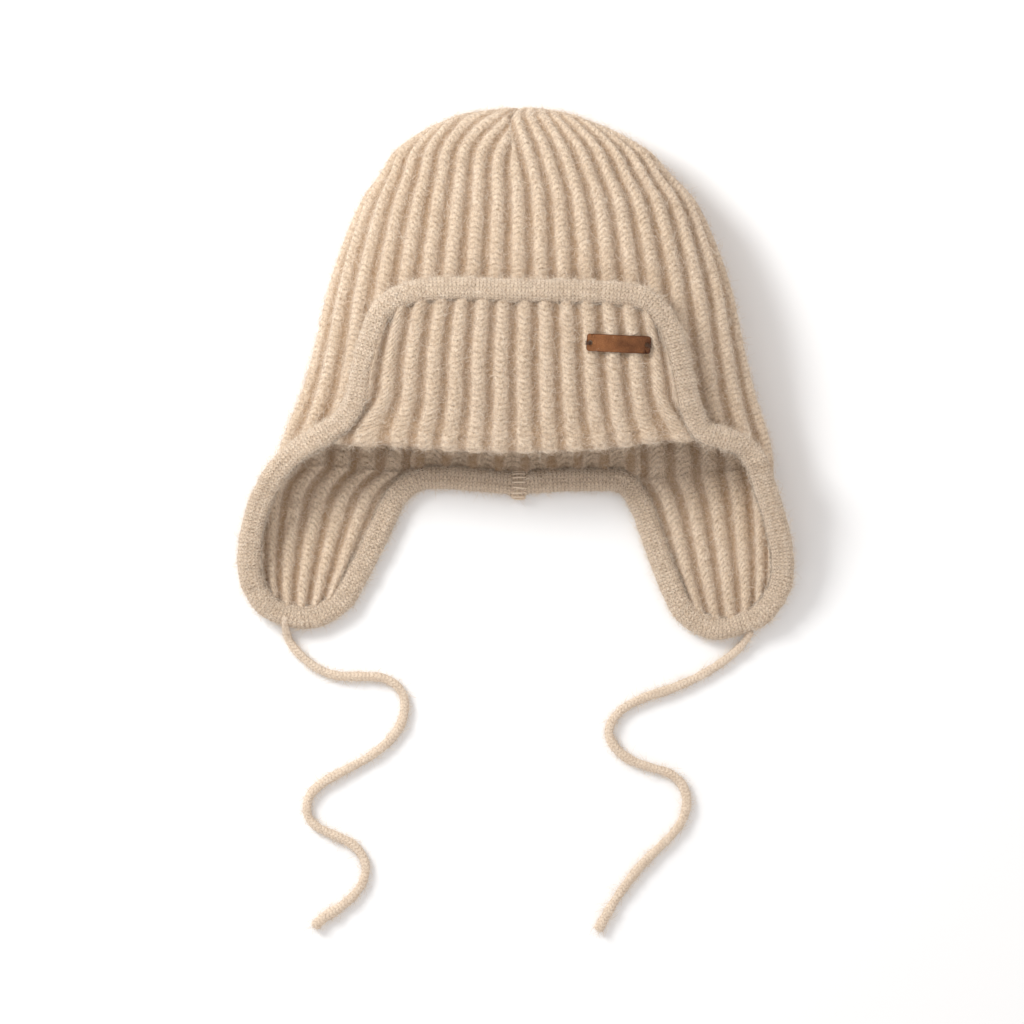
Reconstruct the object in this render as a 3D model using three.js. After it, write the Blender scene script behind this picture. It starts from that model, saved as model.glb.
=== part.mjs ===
import * as THREE from 'three';

// A ribbed knitted earflap hat lying on its back. Millimetres, +Z up, the crown's top towards +Y.

// Crown
const crownDepth = 171;
const crownHalfWidth = 124.5;
const crownThickness = 52;
const crownTopX = 3.8;
const crownTopY = 132.5;

// Knit
const wall = 3;
const ribDepth = 2.4;
const gap = 0.3;
const seamGap = 0.8;
const bindingGap = 0.7;
const flapRibs = 14;
const gapRibs = 2;
const earRibs = 7;
const neckRibs = 8;

// Edge binding
const bindingWidth = 11.5;
const bindingThickness = 8;
const bindingSides = 8;
const bindingSteps = 124;
const seamSwell = 0.14;
const seamLength = 9;

// Front flap
const flapHalfWidth = 80;
const flapHeight = 79;
const flapFoldRoll = 9;
const flapFoldSag = 6;

// Ear flaps and neck
const leftEarLength = 83.5;
const rightEarLength = 89.5;
const neckDrop = 15;

// Ties
const tieDiameter = 4.6;
const tieSides = 8;
const tieSteps = 32;

// Tag
const tagLength = 32;
const tagWidth = 8.8;
const tagThickness = 1.2;
const tagCorner = 1.6;
const tagHoleDiameter = 2.2;
const tagHoleInset = 1.9;
const tagTurn = -0.3;
const tagAcross = 0.8175;
const tagUp = 0.7145;
const tagCornerSteps = 5;
const stitchSides = 10;
const tagSeatStep = 0.02;

// Worked out from the sizes above
const ribCount = flapRibs + 2 * gapRibs + 2 * earRibs + neckRibs;
const columnsPerRib = 2;
const rimY = crownTopY - crownDepth;
const fabricHalf = (wall + ribDepth) / 2;
const halfWidth = bindingWidth / 2;
const halfThickness = bindingThickness / 2;
const frontTurn = 0.5;
const fullTurn = 2 * Math.PI;
const up = new THREE.Vector3(0, 0, 1);

// Sections of the crown from its top to below its rim: depth is a share of crownDepth, half and
// lean are shares of crownHalfWidth, low and high are shares of crownThickness.
const crownSections = [
  { depth: 0, half: 0, lean: 0, low: 0.42, high: 0.42 },
  { depth: 0.023, half: 0.237, lean: -0.033, low: 0.25, high: 0.6 },
  { depth: 0.058, half: 0.361, lean: -0.028, low: 0.13, high: 0.7 },
  { depth: 0.129, half: 0.514, lean: -0.012, low: 0.03, high: 0.81 },
  { depth: 0.199, half: 0.59, lean: 0.002, low: 0, high: 0.88 },
  { depth: 0.269, half: 0.667, lean: 0.013, low: 0, high: 0.93 },
  { depth: 0.409, half: 0.755, lean: 0.018, low: 0, high: 0.99 },
  { depth: 0.55, half: 0.819, lean: 0.019, low: 0, high: 1 },
  { depth: 0.69, half: 0.863, lean: 0.017, low: 0, high: 0.96 },
  { depth: 0.83, half: 0.916, lean: 0.012, low: 0, high: 0.87 },
  { depth: 1, half: 1, lean: 0.002, low: 0, high: 0.76 },
  { depth: 1.15, half: 1.01, lean: 0, low: 0, high: 0.74 },
];
const equatorShare = 0.42;
const frontRoundness = 2.6;
const floorShare = 0.6;

// The line that the middle of the binding follows, from the centre of the flap's top down one side
// to the centre of the neck. across is a share of wide, along is a share of tall from the rim,
// onCrown says how far it rests on the crown, height is its own height as a share of
// crownThickness, and leave is the angle at which the knit leaves it: 0 level, 90 from beneath.
const edgeColumns = ['wide', 'across', 'tall', 'along', 'onCrown', 'height', 'leave', 'mark'];
const edgeLeft = asRows(edgeColumns, [
  [flapHalfWidth, 0, flapHeight, 1, 1, 0, 0, ''],
  [flapHalfWidth, 0.53, flapHeight, 1.005, 1, 0, 0, ''],
  [flapHalfWidth, 0.72, flapHeight, 0.965, 1, 0, 0, ''],
  [flapHalfWidth, 0.85, flapHeight, 0.86, 1, 0, 0, 'corner'],
  [flapHalfWidth, 0.915, flapHeight, 0.7, 1, 0, 0, ''],
  [flapHalfWidth, 0.965, flapHeight, 0.52, 1, 0, 0, ''],
  [flapHalfWidth, 1, flapHeight, 0.33, 1, 0, 0, ''],
  [flapHalfWidth, 1.075, flapHeight, 0.196, 1, 0, 0, 'foot'],
  [crownHalfWidth, 0.771, flapHeight, 0.1, 1, 0, 60, ''],
  [crownHalfWidth, 0.875, leftEarLength, 0, 1, 0, 90, 'earTop'],
  [crownHalfWidth, 0.968, leftEarLength, -0.138, 0, 0.55, 80, 'curl'],
  [crownHalfWidth, 1.04, leftEarLength, -0.347, 0, 0.41, 60, ''],
  [crownHalfWidth, 1.076, leftEarLength, -0.605, 0, 0.29, 40, ''],
  [crownHalfWidth, 1.06, leftEarLength, -0.82, 0, 0.19, 25, 'tipOuter'],
  [crownHalfWidth, 0.97, leftEarLength, -0.97, 0, 0.12, 10, 'tie'],
  [crownHalfWidth, 0.827, leftEarLength, -1, 0, 0.09, 5, ''],
  [crownHalfWidth, 0.715, leftEarLength, -0.91, 0, 0.085, 0, 'tipInner'],
  [crownHalfWidth, 0.627, leftEarLength, -0.7, 0, 0.085, 0, ''],
  [crownHalfWidth, 0.554, leftEarLength, -0.479, 0, 0.085, 0, ''],
  [crownHalfWidth, 0.486, leftEarLength, -0.275, 0, 0.085, 0, 'neckEnd'],
  [crownHalfWidth, 0.41, neckDrop, -1.01, 0, 0.085, 0, ''],
  [crownHalfWidth, 0.289, neckDrop, -0.913, 0, 0.085, 0, ''],
  [crownHalfWidth, 0.12, neckDrop, -1.03, 0, 0.085, 0, ''],
  [crownHalfWidth, 0, neckDrop, -1.1, 0, 0.085, 0, ''],
]);
const edgeRight = asRows(edgeColumns, [
  [flapHalfWidth, 0.6, flapHeight, 0.98, 1, 0, 0, ''],
  [flapHalfWidth, 0.8, flapHeight, 0.94, 1, 0, 0, ''],
  [flapHalfWidth, 0.92, flapHeight, 0.81, 1, 0, 0, 'corner'],
  [flapHalfWidth, 0.98, flapHeight, 0.66, 1, 0, 0, ''],
  [flapHalfWidth, 1.03, flapHeight, 0.46, 1, 0, 0, ''],
  [flapHalfWidth, 1.075, flapHeight, 0.27, 1, 0, 0, ''],
  [flapHalfWidth, 1.155, flapHeight, 0.12, 1, 0, 0, 'foot'],
  [crownHalfWidth, 0.826, flapHeight, 0.07, 1, 0, 60, ''],
  [crownHalfWidth, 0.895, rightEarLength, 0.025, 1, 0, 90, 'earTop'],
  [crownHalfWidth, 0.952, rightEarLength, -0.06, 0, 0.65, 80, 'curl'],
  [crownHalfWidth, 0.995, rightEarLength, -0.225, 0, 0.52, 65, ''],
  [crownHalfWidth, 1.035, rightEarLength, -0.4, 0, 0.41, 50, ''],
  [crownHalfWidth, 1.063, rightEarLength, -0.6, 0, 0.3, 30, ''],
  [crownHalfWidth, 1.052, rightEarLength, -0.77, 0, 0.2, 20, 'tipOuter'],
  [crownHalfWidth, 0.952, rightEarLength, -0.95, 0, 0.12, 10, 'tie'],
  [crownHalfWidth, 0.812, rightEarLength, -1, 0, 0.09, 5, ''],
  [crownHalfWidth, 0.685, rightEarLength, -0.92, 0, 0.085, 0, 'tipInner'],
  [crownHalfWidth, 0.6, rightEarLength, -0.7, 0, 0.085, 0, ''],
  [crownHalfWidth, 0.543, rightEarLength, -0.48, 0, 0.085, 0, ''],
  [crownHalfWidth, 0.488, rightEarLength, -0.282, 0, 0.085, 0, 'neckEnd'],
  [crownHalfWidth, 0.43, neckDrop, -1.09, 0, 0.085, 0, ''],
  [crownHalfWidth, 0.283, neckDrop, -0.99, 0, 0.085, 0, ''],
  [crownHalfWidth, 0.12, neckDrop, -1.03, 0, 0.085, 0, ''],
]);

// The routes of the ties, from the ear flap's tip to the free end.
const tieRouteLeft = [
  [-115.7, -127.4, 4.4], [-115.2, -131.5, 3.2], [-112.2, -137.2, 2.6], [-106.4, -143.2, 2.5],
  [-98.6, -148.6, 2.5], [-89.7, -151.5, 2.5], [-78.5, -151.8, 2.5], [-67.4, -152.6, 2.5],
  [-60.4, -156.5, 2.5], [-56.9, -162.6, 2.5], [-56.8, -170.4, 2.5], [-59.8, -178.4, 2.5],
  [-66.3, -186.1, 2.5], [-75.2, -192.8, 2.5], [-86.4, -198.9, 2.5], [-96.4, -204.5, 2.5],
  [-103.1, -210.3, 2.5], [-105.3, -216.2, 2.5], [-104.6, -222.4, 2.5], [-100.6, -227.0, 2.5],
  [-91.9, -231.3, 2.5], [-83.0, -235.7, 2.5], [-77.9, -241.3, 2.5], [-76.0, -247.5, 2.5],
  [-77.4, -254.7, 2.5], [-81.9, -261.4, 2.5], [-89.7, -268.1, 2.5], [-97.5, -273.1, 2.5],
  [-102.0, -277.6, 2.5],
];
const tieRouteRight = [
  [114.9, -133.2, 4.2], [111.2, -138.2, 3.0], [102.0, -145.1, 2.6], [90.6, -152.0, 2.5],
  [77.9, -157.7, 2.5], [64.2, -162.3, 2.5], [53.8, -167.5, 2.5], [48.1, -173.2, 2.5],
  [45.8, -180.1, 2.5], [48.7, -187.0, 2.5], [56.1, -193.3, 2.5], [66.5, -197.3, 2.5],
  [75.6, -200.2, 2.5], [82.0, -205.4, 2.5], [84.8, -213.4, 2.5], [83.1, -222.6, 2.5],
  [77.9, -230.6, 2.5], [69.9, -238.7, 2.5], [61.9, -246.7, 2.5], [53.8, -257.0, 2.5],
  [46.9, -267.3, 2.5], [40.1, -279.4, 2.5],
];

function asRows(columns, rows) {
  return rows.map((row) => Object.fromEntries(columns.map((column, i) => [column, row[i]])));
}

const fabricRoughness = 0.95;
const leatherRoughness = 0.7;
const threadRoughness = 0.85;
const knitColour = new THREE.Color(0.80, 0.69, 0.55);
const bindingColour = new THREE.Color(0.83, 0.75, 0.63);
const tieColour = new THREE.Color(0.86, 0.76, 0.61);
const leatherColour = new THREE.Color(0.50, 0.27, 0.14);
const threadColour = new THREE.Color(0.22, 0.13, 0.08);

function mix(from, to, share) {
  return from + (to - from) * share;
}

// A smooth curve through the rows of a table. The square root keeps the crown's top round.
function crownAt(depth) {
  const place = Math.sqrt(Math.max(depth, 0));
  const last = crownSections.length - 1;
  let row = 0;
  while (row < last - 1 && crownSections[row + 1].depth < depth) row += 1;
  const rows = [row - 1, row, row + 1, row + 2].map((i) => crownSections[Math.min(Math.max(i, 0), last)]);
  const [before, from, to, after] = rows;
  const start = Math.sqrt(from.depth);
  const span = Math.sqrt(to.depth) - start;
  const share = (place - start) / span;
  const smooth = (name) => {
    const slopeFrom = before === from
      ? (to[name] - from[name]) / span
      : (to[name] - before[name]) / (Math.sqrt(to.depth) - Math.sqrt(before.depth));
    const slopeTo = after === to
      ? (to[name] - from[name]) / span
      : (after[name] - from[name]) / (Math.sqrt(after.depth) - start);
    const t2 = share * share;
    const t3 = t2 * share;
    return (2 * t3 - 3 * t2 + 1) * from[name] + (t3 - 2 * t2 + share) * span * slopeFrom
      + (3 * t2 - 2 * t3) * to[name] + (t3 - t2) * span * slopeTo;
  };
  const low = Math.max(smooth('low'), 0) * crownThickness;
  const high = smooth('high') * crownThickness;
  return {
    y: crownTopY - depth * crownDepth,
    half: Math.max(smooth('half'), 0) * crownHalfWidth,
    middle: crownTopX + smooth('lean') * crownHalfWidth,
    low,
    high,
    equator: mix(low, high, equatorShare),
  };
}

// The outline of one section from the middle of the back over one side, as shares of its half
// width and its height: a flat stretch on the floor, a round side and a flatter front.
const outlineSteps = 28;
function halfOutline(section) {
  const points = [[0, section.low]];
  const sideRun = (1 - floorShare) * section.half;
  for (let i = 0; i <= outlineSteps; i += 1) {
    const angle = (i / outlineSteps) * Math.PI / 2;
    points.push([
      floorShare * section.half + sideRun * Math.sin(angle),
      section.low + (section.equator - section.low) * (1 - Math.cos(angle)),
    ]);
  }
  for (let i = 1; i <= outlineSteps; i += 1) {
    const angle = (i / outlineSteps) * Math.PI / 2;
    const power = 2 / frontRoundness;
    points.push([
      section.half * Math.cos(angle) ** power,
      section.equator + (section.high - section.equator) * Math.sin(angle) ** power,
    ]);
  }
  return points;
}

// A point of the crown's outer face over the ribs. turn goes from 0 at the middle of the back over
// the right side to 0.5 at the middle of the front and on to 1; depth is a share of crownDepth.
function crownPoint(turn, depth) {
  const section = crownAt(depth);
  const wrapped = turn - Math.floor(turn);
  const side = wrapped <= 0.5 ? 1 : -1;
  const share = (side > 0 ? wrapped : 1 - wrapped) * 2;
  const points = halfOutline(section);
  const lengths = [0];
  for (let i = 1; i < points.length; i += 1) {
    const run = Math.hypot(points[i][0] - points[i - 1][0], points[i][1] - points[i - 1][1]);
    lengths.push(lengths[i - 1] + run);
  }
  const target = share * lengths[lengths.length - 1];
  let i = 1;
  while (i < points.length - 1 && lengths[i] < target) i += 1;
  const span = lengths[i] - lengths[i - 1];
  const part = span > 0 ? (target - lengths[i - 1]) / span : 0;
  return new THREE.Vector3(
    section.middle + side * mix(points[i - 1][0], points[i][0], part),
    section.y,
    mix(points[i - 1][1], points[i][1], part),
  );
}

const normalStep = 0.004;
function crownNormal(turn, depth) {
  const step = normalStep;
  const around = crownPoint(turn + step, depth).sub(crownPoint(turn - step, depth));
  const along = crownPoint(turn, depth + step).sub(crownPoint(turn, Math.max(depth - step, step / 10)));
  return around.cross(along).normalize();
}

// The height of the crown's front over a place seen from above, and its slope there.
function crownFront(x, y) {
  const section = crownAt((crownTopY - y) / crownDepth);
  const share = Math.min(Math.abs(x - section.middle) / section.half, 1);
  const bow = (1 - share ** frontRoundness) ** (1 / frontRoundness);
  return section.equator + (section.high - section.equator) * bow;
}

const edgeTilt = 0.12;
const steepest = 0.38;
const slopeStep = 1;
function crownSlope(x, y) {
  const step = slopeStep;
  return new THREE.Vector2(
    (crownFront(x + step, y) - crownFront(x - step, y)) / (2 * step),
    (crownFront(x, y + step) - crownFront(x, y - step)) / (2 * step),
  ).clampLength(0, steepest);
}

// 1 in the trough between two ribs of the outer face and 0 on a rib.
function trough(turn) {
  return 0.5 + 0.5 * Math.cos(fullTurn * ribCount * turn);
}

// The middle of the crown's wall.
function crownMiddle(turn, depth) {
  return crownPoint(turn, depth).addScaledVector(crownNormal(turn, depth), -fabricHalf);
}

// The binding's line as one closed curve: the left side down, then the right side up.
const edgeRows = [
  ...edgeLeft.map((row) => ({ ...row, side: -1, name: `left ${row.mark}` })),
  ...[...edgeRight].reverse().map((row) => ({ ...row, side: 1, name: `right ${row.mark}` })),
];
const edgePlan = new THREE.CatmullRomCurve3(
  edgeRows.map((row) => new THREE.Vector3(row.side * row.across * row.wide, rimY + row.along * row.tall, 0)),
  true,
  'centripetal',
);

function edgeMark(name) {
  return edgeRows.findIndex((row) => row.name === name) / edgeRows.length;
}

// The binding at a share of its line: its middle, the direction along it, the level direction
// towards the knit, the direction of its thickness, and the place where the knit starts.
function edgeAt(share) {
  const t = ((share % 1) + 1) % 1;
  const plan = edgePlan.getPoint(t);
  const along = edgePlan.getTangent(t);
  const inward = new THREE.Vector3().crossVectors(up, along).normalize();
  const place = t * edgeRows.length;
  const from = edgeRows[Math.floor(place) % edgeRows.length];
  const to = edgeRows[(Math.floor(place) + 1) % edgeRows.length];
  const part = place - Math.floor(place);
  const onCrown = mix(from.onCrown, to.onCrown, part);
  const leave = mix(from.leave, to.leave, part) * Math.PI / 180;
  const slope = crownSlope(plan.x, plan.y);
  const rise = Math.hypot(1, slope.x, slope.y);
  const crownHeight = crownFront(plan.x, plan.y) + (halfThickness + gap) * rise;
  const height = (row) => (row.onCrown > 0 ? crownHeight : row.height * crownThickness);
  const middle = plan.clone();
  middle.z = mix(height(from), height(to), part);
  const crownRise = slope.x * inward.x + slope.y * inward.y;
  const tilt = onCrown * crownRise - (1 - onCrown) * Math.tan(leave * edgeTilt);
  const width = inward.clone().addScaledVector(up, tilt).normalize();
  const thick = new THREE.Vector3().crossVectors(along, width).normalize();
  const start = middle.clone()
    .addScaledVector(width, Math.cos(leave) * (halfWidth + bindingGap + fabricHalf * Math.sin(leave)))
    .addScaledVector(thick, -Math.sin(leave) * (halfThickness + gap + fabricHalf));
  return { middle, along, width, thick, start };
}

// Where the knit starts along one stretch of the binding, evenly by length.
const stretchSamples = 60;
function edgeStretch(from, to) {
  const points = [];
  for (let i = 0; i <= stretchSamples; i += 1) points.push(edgeAt(mix(from, to, i / stretchSamples)).start);
  const lengths = [0];
  for (let i = 1; i < points.length; i += 1) {
    lengths.push(lengths[i - 1] + points[i].distanceTo(points[i - 1]));
  }
  return (share) => {
    const target = share * lengths[stretchSamples];
    let i = 1;
    while (i < stretchSamples && lengths[i] < target) i += 1;
    return points[i - 1].clone().lerp(points[i], (target - lengths[i - 1]) / (lengths[i] - lengths[i - 1]));
  };
}

// The share of the binding's line, within a stretch of it, that lies nearest to a point from above.
const nearSamples = 200;
function edgeNear(point, from, to, name) {
  let best = from;
  let least = Infinity;
  for (let i = 0; i <= nearSamples; i += 1) {
    const share = mix(from, to, i / nearSamples);
    const place = edgeAt(share)[name];
    const distance = Math.hypot(place.x - point.x, place.y - point.y);
    if (distance < least) {
      least = distance;
      best = share;
    }
  }
  return best;
}

// The y of a line that runs across the hat, at one x.
function lineAt(points, x) {
  const ordered = [...points].sort((a, b) => a.x - b.x);
  let i = 1;
  while (i < ordered.length - 1 && ordered[i].x < x) i += 1;
  const share = Math.min(Math.max((x - ordered[i - 1].x) / (ordered[i].x - ordered[i - 1].x), 0), 1);
  return mix(ordered[i - 1].y, ordered[i].y, share);
}

function edgeSamples(from, to, name) {
  const points = [];
  for (let i = 0; i <= stretchSamples; i += 1) points.push(edgeAt(mix(from, to, i / stretchSamples))[name]);
  return points;
}

// The lowest line of the fold of the front flap.
function foldY(x) {
  const share = x / flapHalfWidth;
  return rimY - flapFoldSag / 2 + flapFoldSag * share * share;
}

// Turns of the crown where its rim changes: the flap, the bound gap beside it, the ear and the neck.
const flapEnd = flapRibs / 2 / ribCount;
const gapEnd = flapEnd + gapRibs / ribCount;
const earEnd = gapEnd + earRibs / ribCount;

const gapLines = {
  left: edgeSamples(edgeMark('left foot'), edgeMark('left curl'), 'middle'),
  right: edgeSamples(edgeMark('right foot'), edgeMark('right curl'), 'middle'),
};
const neckLine = edgeSamples(edgeMark('left neckEnd'), edgeMark('right neckEnd'), 'start');

// The depth of the crown's rim at one turn, found where its wall meets the line that ends it there.
const rimSearch = { from: 0.6, to: 1.2, halvings: 24, keys: 1000 };
function depthWhere(turn, endY) {
  let low = rimSearch.from;
  let high = rimSearch.to;
  for (let i = 0; i < rimSearch.halvings; i += 1) {
    const depth = (low + high) / 2;
    const point = crownPoint(turn, depth);
    if (point.y > endY(point.x)) low = depth;
    else high = depth;
  }
  return (low + high) / 2;
}

const rimDepths = new Map();
function rimDepth(turn) {
  const key = Math.round(turn * ribCount * rimSearch.keys);
  if (!rimDepths.has(key)) rimDepths.set(key, findRimDepth(turn));
  return rimDepths.get(key);
}

const tiny = 1e-6;
function findRimDepth(turn) {
  const fromFront = Math.abs(turn - frontTurn);
  const side = turn < frontTurn ? 'right' : 'left';
  const sign = turn < frontTurn ? -1 : 1;
  if (fromFront < flapEnd - tiny) return depthWhere(turn, (x) => foldY(x) + flapFoldRoll);
  if (fromFront < gapEnd + tiny) return depthWhere(turn, (x) => lineAt(gapLines[side], x));
  if (fromFront < earEnd - tiny) {
    const share = (fromFront - gapEnd) / (earEnd - gapEnd);
    return mix(rimDepth(frontTurn + sign * gapEnd), rimDepth(frontTurn + sign * earEnd), share);
  }
  return depthWhere(turn, (x) => lineAt(neckLine, x));
}

// A closed mesh, gathered as places and triangles and turned to face outwards.
class Shell {
  constructor() {
    this.places = [];
    this.faces = [];
  }

  add(point) {
    this.places.push(point.x, point.y, point.z);
    return this.places.length / 3 - 1;
  }

  quad(a, b, c, d) {
    this.faces.push(a, b, c, a, c, d);
  }

  geometry() {
    const geometry = new THREE.BufferGeometry();
    geometry.setAttribute('position', new THREE.Float32BufferAttribute(this.places, 3));
    geometry.setIndex(this.faces);
    if (signedVolume(this.places, this.faces) < 0) {
      const flipped = [];
      for (let i = 0; i < this.faces.length; i += 3) {
        flipped.push(this.faces[i], this.faces[i + 2], this.faces[i + 1]);
      }
      geometry.setIndex(flipped);
    }
    geometry.computeVertexNormals();
    return geometry;
  }
}

function signedVolume(places, faces) {
  const corner = (i) => new THREE.Vector3().fromArray(places, 3 * i);
  let sum = 0;
  for (let i = 0; i < faces.length; i += 3) {
    sum += corner(faces[i]).dot(corner(faces[i + 1]).cross(corner(faces[i + 2])));
  }
  return sum;
}

// The crown: an outer and an inner face, closed at the top and joined round the rim.
const crownRings = [
  0.006, 0.022, 0.048, 0.085, 0.13, 0.185, 0.25, 0.33, 0.43, 0.54, 0.66, 0.78, 0.87, 0.94, 1,
];
const ribFadeWidth = 34;
function crownGeometry() {
  const shell = new Shell();
  const columns = ribCount * columnsPerRib;
  const topNormal = new THREE.Vector3(0, 1, 0);
  const top = crownPoint(0, 0);
  const outerTop = shell.add(top);
  const innerTop = shell.add(top.clone().addScaledVector(topNormal, -wall));
  const outer = [];
  const inner = [];
  for (const ring of crownRings) {
    const outerRow = [];
    const innerRow = [];
    for (let i = 0; i < columns; i += 1) {
      const turn = i / columns;
      const depth = ring * rimDepth(turn);
      const point = crownPoint(turn, depth);
      const normal = crownNormal(turn, depth);
      const fade = Math.min(crownAt(depth).half / ribFadeWidth, 1);
      const fall = trough(turn) * ribDepth * fade;
      const clear = Math.min(point.z / (2 * ribDepth), 1);
      outerRow.push(shell.add(point.clone().addScaledVector(normal, -fall * clear)));
      innerRow.push(shell.add(point.clone().addScaledVector(normal, -fall - wall)));
    }
    outer.push(outerRow);
    inner.push(innerRow);
  }
  for (let i = 0; i < columns; i += 1) {
    const next = (i + 1) % columns;
    shell.faces.push(outerTop, outer[0][i], outer[0][next]);
    shell.faces.push(innerTop, inner[0][next], inner[0][i]);
    for (let j = 0; j + 1 < outer.length; j += 1) {
      shell.quad(outer[j][i], outer[j + 1][i], outer[j + 1][next], outer[j][next]);
      shell.quad(inner[j][i], inner[j][next], inner[j + 1][next], inner[j + 1][i]);
    }
    const rim = outer.length - 1;
    shell.quad(outer[rim][i], inner[rim][i], inner[rim][next], outer[rim][next]);
  }
  return shell.geometry();
}

// A patch of knit: its middle surface as rows of points, thickened both ways, with ribs along the
// columns. shiftAt says how far a column lies from the middle, towards the face that looks up, and
// startNormals holds the directions of the first row, where the knit runs on from the crown.
function clothGeometry(rows, shiftAt, startNormals) {
  const shell = new Shell();
  const upper = [];
  const lower = [];
  const last = rows.length - 1;
  const side = rows[0].length - 1;
  for (let j = 0; j <= last; j += 1) {
    const upperRow = [];
    const lowerRow = [];
    for (let i = 0; i <= side; i += 1) {
      const across = rows[j][Math.min(i + 1, side)].clone().sub(rows[j][Math.max(i - 1, 0)]);
      const along = rows[Math.min(j + 1, last)][i].clone().sub(rows[Math.max(j - 1, 0)][i]);
      const normal = j === 0 ? startNormals[i] : across.cross(along).normalize();
      const shift = shiftAt(i / side, j / last);
      const high = rows[j][i].clone().addScaledVector(normal, shift + wall / 2);
      const low = rows[j][i].clone().addScaledVector(normal, shift - wall / 2);
      high.z = Math.max(high.z, wall);
      low.z = Math.max(low.z, 0);
      upperRow.push(shell.add(high));
      lowerRow.push(shell.add(low));
    }
    upper.push(upperRow);
    lower.push(lowerRow);
  }
  for (let j = 0; j < last; j += 1) {
    for (let i = 0; i < side; i += 1) {
      shell.quad(upper[j][i], upper[j][i + 1], upper[j + 1][i + 1], upper[j + 1][i]);
      shell.quad(lower[j][i], lower[j + 1][i], lower[j + 1][i + 1], lower[j][i + 1]);
    }
    shell.quad(upper[j][0], upper[j + 1][0], lower[j + 1][0], lower[j][0]);
    shell.quad(upper[j][side], lower[j][side], lower[j + 1][side], upper[j + 1][side]);
  }
  for (let i = 0; i < side; i += 1) {
    shell.quad(upper[0][i], lower[0][i], lower[0][i + 1], upper[0][i + 1]);
    shell.quad(upper[last][i], upper[last][i + 1], lower[last][i + 1], lower[last][i]);
  }
  return shell.geometry();
}

function inwardAt(turns) {
  return turns.map((turn) => crownNormal(turn, rimDepth(turn)).negate());
}

// A surface between four lines that meet at its corners.
function patch(bottom, top, left, right) {
  return (a, b) => {
    const ruled = bottom(a).multiplyScalar(1 - b).addScaledVector(top(a), b);
    ruled.addScaledVector(left(b), 1 - a).addScaledVector(right(b), a);
    ruled.addScaledVector(bottom(0), -(1 - a) * (1 - b)).addScaledVector(bottom(1), -a * (1 - b));
    ruled.addScaledVector(top(0), -(1 - a) * b).addScaledVector(top(1), -a * b);
    return ruled;
  };
}

// The front flap: from the crown's rim round the fold and up over the crown to its bound edge.
const flapLeft = edgeStretch(edgeMark('left foot'), edgeMark('left corner'));
const flapRight = edgeStretch(edgeMark('right foot'), edgeMark('right corner'));
const flapTop = edgeStretch(edgeMark('left corner'), edgeMark('right corner') - 1);

function flapFoot(a) {
  const point = flapLeft(0).lerp(flapRight(0), a);
  const ends = (2 * a - 1) ** 2;
  point.y = mix(foldY(point.x) + flapFoldRoll, point.y, ends ** 2);
  const slope = crownSlope(point.x, point.y);
  const seat = crownFront(point.x, point.y) + (gap + fabricHalf) * Math.hypot(1, slope.x, slope.y);
  point.z = mix(seat, point.z, ends ** 4);
  return point;
}

// The flap lies on the crown: between its edges it keeps clear of the crown's ribs.
const flapPatch = patch(flapFoot, flapTop, flapLeft, flapRight);
function flapPanel(a, b) {
  const point = flapPatch(a, b);
  const slope = crownSlope(point.x, point.y);
  const seat = crownFront(point.x, point.y) + (gap + fabricHalf) * Math.hypot(1, slope.x, slope.y);
  point.z = Math.max(point.z, seat);
  return point;
}

const foldRows = 6;
const panelRows = 10;
function flapGeometry() {
  const columns = flapRibs * columnsPerRib;
  const rows = [];
  for (let j = 0; j < foldRows + panelRows; j += 1) {
    const row = [];
    for (let i = 0; i <= columns; i += 1) {
      const a = i / columns;
      if (j >= foldRows) {
        row.push(flapPanel(a, (j - foldRows) / (panelRows - 1)));
      } else {
        const turn = frontTurn + flapEnd * (1 - 2 * a);
        const from = crownMiddle(turn, rimDepth(turn) + seamGap / crownDepth);
        const to = flapPanel(a, 0);
        const angle = (j / foldRows) * Math.PI;
        const middle = from.clone().add(to).multiplyScalar(0.5);
        const reach = Math.min(from.y, to.y) - fabricHalf - foldY(middle.x);
        const point = middle.clone().addScaledVector(to.clone().sub(from), -0.5 * Math.cos(angle));
        point.y -= Math.max(reach, fabricHalf) * Math.sin(angle);
        row.push(point);
      }
    }
    rows.push(row);
  }
  const turns = rows[0].map((point, i) => frontTurn + flapEnd * (1 - 2 * i / columns));
  return clothGeometry(rows, (a) => ribDepth / 2 * Math.cos(fullTurn * flapRibs * a), inwardAt(turns));
}

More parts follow.
